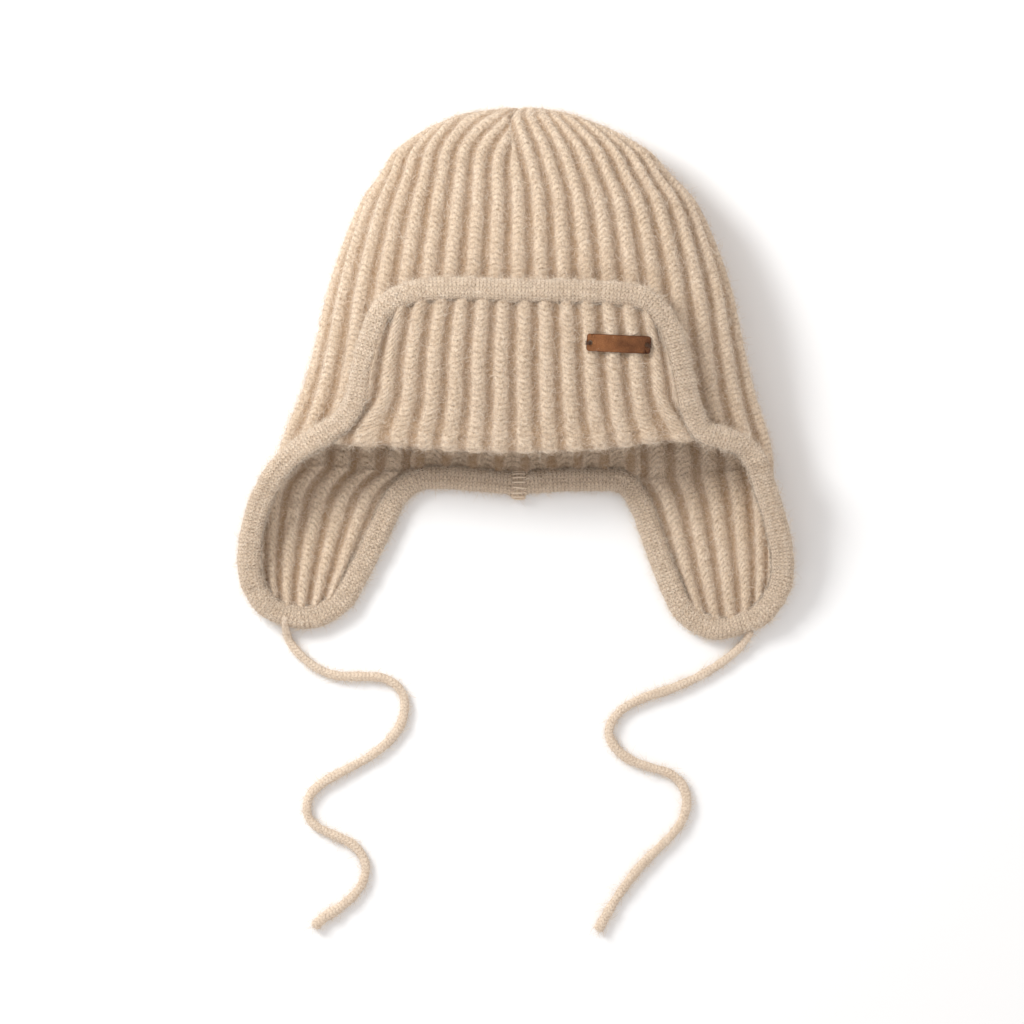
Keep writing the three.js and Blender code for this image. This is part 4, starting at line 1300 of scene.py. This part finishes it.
tag = {
    "length": 0.032,
    "width": 0.0088,
    "thickness": 0.0012,
    "corner": 0.0016,
    "cornerSteps": 6,
    "edgeRound": 0.0003,
    "hole": 0.0022,
    "holeInset": 0.0019,
    "turn": -0.3,
    "across": 0.8066,
    "up": 0.687,
    "bow": 0.0002,
    "cell": 0.0007,
    "hairGap": 0.0012,
    "hairFade": 3,
    "frameStep": 0.02,
    "bevelSteps": 3,
    "holeSides": 18,
    "sharp": 1.2,
    "warm": (0.3, 0.104, 0.022, 1),
    "dark": (0.085, 0.025, 0.005, 1),
    "rim": (0.07, 0.022, 0.009, 1),
}
leather = {
    "clouds": (170, 4.0, 0.6),
    "pores": (1900, 3.0, 0.65),
    "cells": 1100,
    # how the tag darkens towards its right end and in cloudy patches
    "darkeningLeast": 0.1,
    "darkeningAlong": 0.75,
    "darkeningCloud": 1.7,
    "rimAlong": (0.478, 0.5),
    "rimUp": (0.44, 0.5),
    "rimShade": 0.75,
    "grainEdge": (0.0, 0.14),
    "grain": 0.35,
    "poreShade": 1.3,
    "pale": {"Value": 1.25, "Saturation": 0.9},
    "dull": {"Value": 0.72},
    "roughness": (0.42, 0.3, 0.75),  # least, what the clouds add, most
    "creaseEdge": (0.0, 0.16),
    "creases": 0.5,
    "poreHeight": 0.7,
    "cloudHeight": 0.5,
    "bump": 0.0004,
    "specular": 0.15,
}


def tagFrame():
    # the tag's middle and its directions on the flap, as the solids have them
    across = tag["across"] + tag["frameStep"] * np.array([0, -1, 1, 0, 0])
    up = tag["up"] + tag["frameStep"] * np.array([0, 0, 0, -1, 1])
    spots = flapPanel(across, up)
    right = normalise(spots[2] - spots[1])
    normal = normalise(np.cross(right, spots[4] - spots[3]))
    upwards = np.cross(normal, right)
    angle = np.radians(tag["turn"])
    along = right * np.cos(angle) + upwards * np.sin(angle)
    up = -right * np.sin(angle) + upwards * np.cos(angle)
    middle = spots[0] + normal * (fabricHalf + fabric["gap"] + tag["thickness"] / 2)
    return middle, along, up, normal


tagMiddle, tagAlong, tagUp, tagNormal = tagFrame()
print("tag at", np.round((tagMiddle + hatShift) * 1000, 2))


def besideTag(spots):
    # 0 at the tag and 1 well clear of it
    away = spots - tagMiddle
    across = np.abs(away @ tagAlong) - tag["length"] / 2
    up = np.abs(away @ tagUp) - tag["width"] / 2
    return smoothStep(np.maximum(across, up), tag["hairGap"], tag["hairGap"] * tag["hairFade"])


def flapPiece():
    columns = fabric["flapRibs"] * flap["columnsPerRib"]
    a = np.linspace(0, 1, columns + 1)
    turn = 0.5 + flapEnd * (1 - 2 * a)
    start = knitMiddle(turn)
    end = flapPanel(a, np.zeros_like(a))
    middle = (start + end) / 2
    reach = np.minimum(start[:, 1], end[:, 1]) - fabricHalf - foldY(middle[:, 0])
    reach = np.maximum(reach, fabricHalf)
    angle = np.linspace(0, np.pi, flap["foldRows"] + 1)[:-1]
    fold = middle[None] - (end - start)[None] * 0.5 * np.cos(angle)[:, None, None]
    fold[..., 1] -= reach[None] * np.sin(angle)[:, None]
    b = np.linspace(0, 1, flap["panelRows"] + 1)
    panel = flapPanel(*np.meshgrid(a, b))
    surface = np.concatenate([fold, panel])
    alongFold = np.concatenate([np.zeros(flap["foldRows"]), b])
    aside = (2 * a - 1)[None, :]
    tuck = smoothStep(np.abs(aside), flap["tuckFrom"], 1)
    tuck = tuck * (1 - smoothStep(alongFold, 0.0, flap["tuckRows"]))[:, None]
    tuck = tuck * np.concatenate([smoothStep(angle, 0, flap["tuckTurn"]), np.ones(len(b))])[:, None]
    surface[..., 0] += np.sign(aside) * tuck * flap["tuckSide"]
    surface[..., 1] -= tuck * flap["tuckDown"]
    surface[..., 2] -= tuck * flap["tuckUnder"]
    calm = np.concatenate([np.sin(angle), 1 - smoothStep(b, 0, flap["calmRows"])])
    relief = 1 - flap["foldCalm"] * calm
    ribs = fabric["flapRibs"]
    piece = clothPiece("front_flap", surface, ribs, turn, relief, flap["fuzz"], seed=31, bare=besideTag)
    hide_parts("front_flap")


def earLead(turns):
    # rows of the same knit that run up inside the crown, so that no seam shows at its rim
    shares = np.linspace(ear["leadStart"], 1, ear["leadRows"] + 1)[:-1, None]
    rows = np.broadcast_to(turns, (ear["leadRows"], len(turns)))
    return insideKnit(*towardsBack(rows, shares * rimDepth(turns)))


def earPiece(side, sign):
    columns = fabric["earRibs"] * ear["columnsPerRib"]

    def top(a):
        return knitMiddle(0.5 - sign * lerp(gapEnd, earEnd, np.asarray(a, dtype=float)))

    tipOuter = edgeMark(side + " tipOuter")
    tipInner = edgeMark(side + " tipInner")
    outerLine = edgeStretch(edgeNear(top(0), edgeMark(side + " foot"), tipOuter, "middle"), tipOuter)
    innerLine = edgeStretch(edgeNear(top(1), neckMiddle, tipInner, "start"), tipInner)
    tipLine = edgeStretch(tipOuter, tipInner)

    def join(line, corner):
        def at(b):
            b = np.asarray(b, dtype=float)
            blend = np.maximum(1 - b / ear["join"], 0) ** 2
            return lerp(line(b), top(corner), blend[..., None])
        return at

    a, b = np.meshgrid(np.linspace(0, 1, columns + 1), np.linspace(0, 1, ear["rows"] + 1))
    border = join(outerLine, 0)(np.linspace(0, ear["gussetEnd"], ear["gussetBorder"]))
    surface = patch(top, tipLine, join(outerLine, 0), join(innerLine, 1), a, b)
    surface[..., 2] = np.maximum(surface[..., 2], fabricHalf)
    turns = 0.5 - sign * lerp(gapEnd, earEnd, a[0])
    surface = np.concatenate([earLead(turns), surface])
    beyond = np.arange(len(surface)) - ear["leadRows"]
    risen = smoothStep(beyond, -ear["leadRows"], -ear["leadRows"] / 2)
    lift = lerp(-ear["leadSink"], ear["leadLift"], risen)
    lift = lift[:, None] - ear["leadSink"] * smoothStep(a[:1], ear["innerSide"], 1)
    lift = lift * (1 - smoothStep(beyond, 0, ear["leadFade"]))[:, None]
    surface = surface - crownNormal(*towardsBack(turns, rimDepth(turns)))[None] * lift[..., None]
    if sign < 0:
        surface = surface[:, ::-1]
        turns = turns[::-1]
    relief = np.ones(len(surface))
    name = "ear_flap_" + side
    ribs = fabric["earRibs"]
    piece = clothPiece(name, surface, ribs, turns, relief, ear["fuzz"], seed=32 + sign, lead=ear["leadRows"])
    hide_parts(name)
    return border


flapPiece()
earBorders = {"left": earPiece("left", -1), "right": earPiece("right", 1)}


def gussetPiece(side, sign):
    # the knit between the ends of the crown's rim and the binding that rises off it
    turns = 0.5 - sign * np.linspace(flapEnd, gapEnd, ear["gussetRim"])
    lower = np.concatenate([knitMiddle(turns), earBorders[side]])
    count = ear["gussetColumns"]
    lower = evenly(lower, count)
    tip = edgeMark(side + " tipOuter")
    shares = [edgeNear(point, edgeMark(side + " foot"), tip, "middle") for point in lower]
    onwards = np.maximum.accumulate(sign * -np.array(shares))[::ear["gussetStep"]]
    shares = np.interp(np.arange(count), np.arange(0, count, ear["gussetStep"]), onwards) * -sign
    places = edgeAt(shares)
    upper = places["middle"] - places["thick"] * halfThickness * ear["gussetRise"]
    rise = np.linspace(0, 1, ear["gussetRows"] + 1)[:, None, None]
    surface = lerp(lower[None], upper[None], rise)
    run = runLengths(lower) / fabric["stitch"]
    marks = gridMarks(rise[..., 0] * ear["gussetMark"], run[None, :])
    outwards = faceNormals(surface)
    outer = surface + outwards * ear["gussetWall"] / 2
    inner = surface - outwards * ear["gussetWall"] / 2
    spots = np.concatenate([outer, inner[::-1], outer[:1]])
    allMarks = np.concatenate([marks, marks[::-1], marks[:1]])
    ends = spots.copy()
    ends[:, 0] = spots[:, 0].mean(axis=0)
    ends[:, -1] = spots[:, -1].mean(axis=0)
    piece = gridPiece("ear_flap_" + side + "_gusset", ends, allMarks, knit)


gussetPiece("left", -1)
gussetPiece("right", 1)
print("flaps knitted")


edgeFine = np.linspace(0, 1, edge["fineSteps"] + 1)
edgeRuns = runLengths(edgeAt(edgeFine)["middle"])
edgeLength = edgeRuns[-1]
ringTurns = np.linspace(0, 2 * np.pi, 9)
neckSeam = {
    "length": 0.009,
    "swell": 0.14,
    "lump": 0.0018,
    "lumpShort": 2.2,
    "rungs": 13,
    "rungRows": 15,
    "rungArc": (-0.35, 1.15),
    "rungStray": 0.0007,
    "rungShift": 0.0006,
    "rungRadius": 0.0006,
    "rungLength": 0.0074,
    "rungBow": (0.6, 0.8),
}


def edgeRow(rows):
    # even rows round the edge: how far along each lies, and its place
    run = np.linspace(0, edgeLength, rows + 1)
    return run, edgeAt(np.interp(run, edgeRuns, edgeFine))


def bindingPiece():
    wales = int(round(edgeLength / edge["wale"]))
    print("binding", round(float(edgeLength), 4), "m round,", wales, "wales")
    rows = wales * edge["rowsPerWale"]
    run, places = edgeRow(rows)
    away = fromAbove(places["middle"], edgePlan(np.array(neckMiddle))) / neckSeam["length"]
    swell = 1 + neckSeam["swell"] * np.exp(-away * away)
    lump = neckSeam["lump"] * np.exp(-(away * neckSeam["lumpShort"]) ** 4)
    pinch = np.zeros_like(run)
    for route, pull in ((tieRouteLeft, edge["pinchLeft"]), (tieRouteRight, edge["pinchRight"])):
        pinch = pinch + pull * bell(fromAbove(places["middle"], route[1]), edge["pinchLength"])
    uneven = swayed(run, edge["sway"])
    uneven[-1] = uneven[0]
    angle = np.linspace(0, 2 * np.pi, edge["around"] + 1)
    rise = np.sin(angle)
    reach = np.cos(angle)
    chance = np.random.RandomState(7)
    knots = np.arange(0, rows + edge["bumpRows"], edge["bumpRows"])
    bumps = np.interp(np.arange(rows + 1), knots, chance.randn(len(knots)))
    last = edge["bumpBlend"]
    bumps[-last:] = bumps[-last:] * np.linspace(1, 0, last) + bumps[0] * np.linspace(0, 1, last)
    wale = edge["waleRelief"] * np.cos(2 * np.pi * run / edgeLength * wales) + edge["unevenness"] * bumps
    dip = edge["groove"] * bell(reach, edge["grooveWidth"]) * np.maximum(rise, 0)
    across = halfWidth * np.sign(reach) * np.abs(reach) ** edge["square"]
    high = halfThickness * rise
    wide = across[None, :] + wale[:, None] * reach[None, :] * edge["waleSide"]
    wide = wide - lump[:, None] * np.maximum(-reach, 0)[None, :]
    tall = high[None, :] * (swell * uneven)[:, None] + wale[:, None] * rise[None, :] - dip[None, :]
    wide = wide * (1 - edge["pinchNarrow"] * pinch[:, None] / halfWidth) + pinch[:, None]
    spots = places["middle"][:, None] + places["width"][:, None] * wide[..., None]
    spots = spots + places["thick"][:, None] * tall[..., None]
    spots[..., 2] = np.maximum(spots[..., 2], floorGap)
    spots[-1] = spots[0]
    spots[:, -1] = spots[:, 0]
    marks = gridMarks(run[:, None] / edgeLength * wales, angle[None, :] / (2 * np.pi))
    piece = gridPiece("edge_binding_knit", spots, marks, binding)
    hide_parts("edge_binding")
    addFuzz("edge_binding", spots, edge["fuzz"], seed=41)


links = {
    "pitch": 0.0027,
    "rows": 6,
    "radius": 0.0007,
    "thin": 0.72,
    "swell": 0.3,
    "out": 0.97,
    "up": 0.2,
    "wave": 0.00025,
    "strayRadius": 0.25,
    "strayOut": 0.0005,
    "strayUp": 0.0004,
    "floorGap": 0.0003,
}


def linkingPiece():
    # the row of linking stitches along the inner side of the binding, a little uneven
    stitches = int(round(edgeLength / links["pitch"]))
    rows = stitches * links["rows"]
    run, places = edgeRow(rows)
    chance = np.random.RandomState(5)
    number = np.minimum((np.arange(rows + 1) // links["rows"]), stitches - 1)
    stray = (chance.rand(stitches, 3) - 0.5)[number]
    phase = 2 * np.pi * run / edgeLength * stitches
    swell = links["thin"] + links["swell"] * np.abs(np.sin(phase / 2))
    radius = links["radius"] * (swell + links["strayRadius"] * stray[:, 0])
    out = halfWidth * links["out"] + links["strayOut"] * stray[:, 1] + links["wave"] * np.sin(phase)
    high = halfThickness * links["up"] + links["strayUp"] * stray[:, 2]
    line = places["middle"] + places["width"] * out[:, None] + places["thick"] * high[:, None]
    spots = tubeSpots(line, radius[:, None], ringTurns, places["width"][:, None], places["thick"][:, None])
    spots[..., 2] = np.maximum(spots[..., 2], links["floorGap"])
    spots[-1] = spots[0]
    spots[:, -1] = spots[:, 0]
    marks = gridMarks(phase[:, None] / (2 * np.pi), ringTurns[None, :] / (2 * np.pi))
    piece = gridPiece("edge_binding_links", spots, marks, binding)


def seamPiece():
    # the rungs of the seam where the binding's two ends meet behind the neck
    place = edgeAt(np.array([neckMiddle]))
    along = place["along"][0]
    width = place["width"][0]
    thick = place["thick"][0]
    middle = place["middle"][0] + along * neckSeam["rungShift"]
    share = np.linspace(-1, 1, neckSeam["rungRows"])
    radius = neckSeam["rungRadius"] * np.sqrt(1 - share ** 6)
    bow = neckSeam["rungRadius"] * (neckSeam["rungBow"][0] - neckSeam["rungBow"][1] * share ** 2)
    chance = np.random.RandomState(9)
    rungs = []
    for angle in np.linspace(*neckSeam["rungArc"], neckSeam["rungs"]) * np.pi:
        stray = (chance.rand(2) - 0.5) * neckSeam["rungStray"]
        reach = -np.cos(angle)
        rise = np.sin(angle)
        wide = halfWidth + neckSeam["lump"] * max(-reach, 0)
        wide = wide * np.sign(reach) * abs(reach) ** edge["square"]
        tall = halfThickness * rise * (1 + neckSeam["swell"])
        outwards = normalise(width * reach / halfWidth + thick * rise / halfThickness)
        aside = normalise(np.cross(along, outwards))
        line = middle + width * wide + thick * tall + along * stray[0]
        line = line + (width * stray[1]) * share[:, None]
        line = line + along * (share * neckSeam["rungLength"] / 2)[:, None] + outwards * bow[:, None]
        rungs.append(tubeSpots(line, radius[:, None], ringTurns, aside, outwards))
    spots = np.concatenate(rungs)
    spots[..., 2] = np.maximum(spots[..., 2], floorGap)
    marks = np.full(spots.shape[:2] + (2,), 0.5)  # one tone for the whole seam, as on top of a stitch
    marks[..., 1] /= bindingYarn["rows"]
    piece = gridPiece("edge_binding_seam", spots, marks, binding, apart=neckSeam["rungRows"])


bindingPiece()
linkingPiece()
seamPiece()
print("binding sewn on")

thread = {
    "radius": 0.00034,
    "rows": 33,
    "reach": 0.0024,
    "hidden": 0.0003,
    "spread": (0.00021, 0.000525),
    "skew": 0.0005,
    "rise": 0.00042,
    "twist": (3, 5),
    # shade is painted shade in the grooves of the twist, paleShade the colour of the raised strands
    "shade": (0.05, 0.022, 0.011, 1),
    "paleShade": (0.12, 0.055, 0.028, 1),
    "roughness": 0.6,
    "bump": 0.0002,
    "specular": 0.4,
}


def leatherFinish():
    material, wire = startFinish("leather")
    along, up = readMark(wire)
    cloud = smoothNoise(wire, *leather["clouds"])
    pores = smoothNoise(wire, *leather["pores"]) - 0.5
    cells = {"Vector": objectPlace(wire), "Scale": leather["cells"]}
    creases = wire.node("ShaderNodeTexVoronoi", {"feature": "DISTANCE_TO_EDGE"}, cells)
    # darker towards the tag's right end and in cloudy patches
    darkening = along * leather["darkeningAlong"] + (cloud - 0.5) * leather["darkeningCloud"] + leather["darkeningLeast"]
    shade = darkening.clamped().blend(tag["warm"], tag["dark"])
    rimAlong = abs(along - 0.5).rise(*leather["rimAlong"])
    rimUp = abs(up - 0.5).rise(*leather["rimUp"])
    shade = (rimAlong.most(rimUp) * leather["rimShade"]).blend(shade, tag["rim"])
    grain = creases.rise(*leather["grainEdge"]) * leather["grain"] + (1 - leather["grain"])
    pale = wire.node("ShaderNodeHueSaturation", {}, {**leather["pale"], "Color": shade})
    dull = wire.node("ShaderNodeHueSaturation", {}, {**leather["dull"], "Color": shade})
    shade = (grain + pores * leather["poreShade"]).clamped().blend(dull, pale)
    least, added, most = leather["roughness"]
    height = creases.rise(*leather["creaseEdge"]) * leather["creases"]
    height = height + pores * leather["poreHeight"] + cloud * leather["cloudHeight"]
    roughness = (cloud * added + least).least(most)
    endFinish(wire, shade, roughness, height, leather["bump"], specular=leather["specular"])
    return material


def threadFinish():
    material, wire = startFinish("thread")
    across, along = readMark(wire)
    strands = abs((across * thread["twist"][0] + along * thread["twist"][1]).fraction() - 0.5) * 2
    # painted shade: darker in the grooves between the twisted strands, paler on the raised strands
    shade = strands.blend(thread["shade"], thread["paleShade"])
    endFinish(wire, shade, thread["roughness"], strands, thread["bump"], specular=thread["specular"])
    return material


holeX = tag["length"] / 2 - tag["holeInset"]


def onTag(x, y, z):
    # a place given along the tag, up it and off it
    x = np.asarray(x, dtype=float)[..., None]
    y = np.asarray(y, dtype=float)[..., None]
    z = np.asarray(z, dtype=float)[..., None]
    return tagMiddle + tagAlong * x + tagUp * y + tagNormal * z


def tagPiece():
    build = bmesh.new()
    ring = []
    x = tag["length"] / 2 - tag["corner"]
    y = tag["width"] / 2 - tag["corner"]
    corner = tag["corner"]
    for cornerX, cornerY, start in ((x, -y, -90), (x, y, 0), (-x, y, 90), (-x, -y, 180)):
        for angle in np.radians(np.linspace(start, start + 90, tag["cornerSteps"])):
            place = (cornerX + corner * np.cos(angle), cornerY + corner * np.sin(angle), 0)
            ring.append(build.verts.new(place))
    rims = [build.edges.new((ring[k - 1], ring[k])) for k in range(len(ring))]
    for side in (-1, 1):
        hole = bmesh.ops.create_circle(build, segments=tag["holeSides"], radius=tag["hole"] / 2)
        bmesh.ops.translate(build, verts=hole["verts"], vec=(side * holeX, 0, 0))
        rims += list({line for vert in hole["verts"] for line in vert.link_edges})
    bmesh.ops.triangle_fill(build, edges=rims, use_beauty=True, use_dissolve=False, normal=(0, 0, 1))
    for cut in np.arange(-tag["length"] / 2 + tag["cell"], tag["length"] / 2, tag["cell"] * 2):
        geometry = build.verts[:] + build.edges[:] + build.faces[:]
        bmesh.ops.bisect_plane(build, geom=geometry, plane_co=(cut, 0, 0), plane_no=(1, 0, 0))
    lifted = bmesh.ops.extrude_face_region(build, geom=build.faces[:])
    topVerts = [part for part in lifted["geom"] if isinstance(part, bmesh.types.BMVert)]
    bmesh.ops.translate(build, verts=topVerts, vec=(0, 0, tag["thickness"]))
    bmesh.ops.recalc_face_normals(build, faces=build.faces)
    sharp = [line for line in build.edges if line.calc_face_angle(0) > tag["sharp"]]
    bmesh.ops.bevel(build, geom=sharp, offset=tag["edgeRound"], offset_type="OFFSET",
                    segments=tag["bevelSteps"], profile=0.5, affect="EDGES", material=-1)
    layer = build.loops.layers.uv.new("knit")
    for face in build.faces:
        face.smooth = True
        for loop in face.loops:
            spot = loop.vert.co
            loop[layer].uv = (spot.x / tag["length"] + 0.5, spot.y / tag["width"] + 0.5)
    for vert in build.verts:
        bow = tag["bow"] * (np.cos(vert.co.x / tag["length"] * 2 * np.pi) - 1)
        up = vert.co.z - tag["thickness"] / 2 + bow
        vert.co = Vector(onTag(vert.co.x, vert.co.y, up) + hatShift)
    mesh = bpy.data.meshes.new("tag_leather")
    build.to_mesh(mesh)
    build.free()
    mesh.materials.append(leatherFinish())
    piece = addObject("tag_leather", mesh)
    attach(piece, "root")
    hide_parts("tag")


def threadPiece(name, side, material):
    # two strands from the hole over the tag's short end into the knit
    top = tag["thickness"] / 2
    over = top + thread["rise"]
    x = np.array([0, 0, 0.1, 0.35, 0.65, 0.9, 1, 1]) * thread["reach"] + holeX - thread["hidden"]
    z = np.array([-1.6 * top, 0, top, over, over, top * 0.7, -top, -2.2 * top])
    steps = np.linspace(0, 1, thread["rows"])
    radius = np.full(thread["rows"], thread["radius"])
    radius[[0, -1]] = 0
    pieces = []
    for strand, end in ((-1, "_upper"), (1, "_lower")):
        y = strand * np.linspace(*thread["spread"], len(x)) - np.linspace(0, thread["skew"], len(x))
        line = openCurve(np.stack([side * x, y, z], axis=-1), steps)
        along = normalise(np.gradient(line, axis=0))
        sideways = normalise(np.cross(along, np.array([0, 1.0, 0])))
        upwards = np.cross(along, sideways)
        tube = tubeSpots(line, radius[:, None], ringTurns, sideways[:, None], upwards[:, None])
        spots = onTag(tube[..., 0], tube[..., 1], tube[..., 2])
        marks = gridMarks(ringTurns[None, :] / (2 * np.pi), steps[:, None])
        piece = gridPiece(name + end, spots, marks, material)
        pieces.append(piece)
    return pieces


tagPiece()
threadMaterial = threadFinish()
for side, sideName in ((-1, "left"), (1, "right")):
    strands = threadPiece("tag_stitch_" + sideName, side, threadMaterial)
    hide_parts("tag_stitch_" + sideName)
print("tag sewn on")
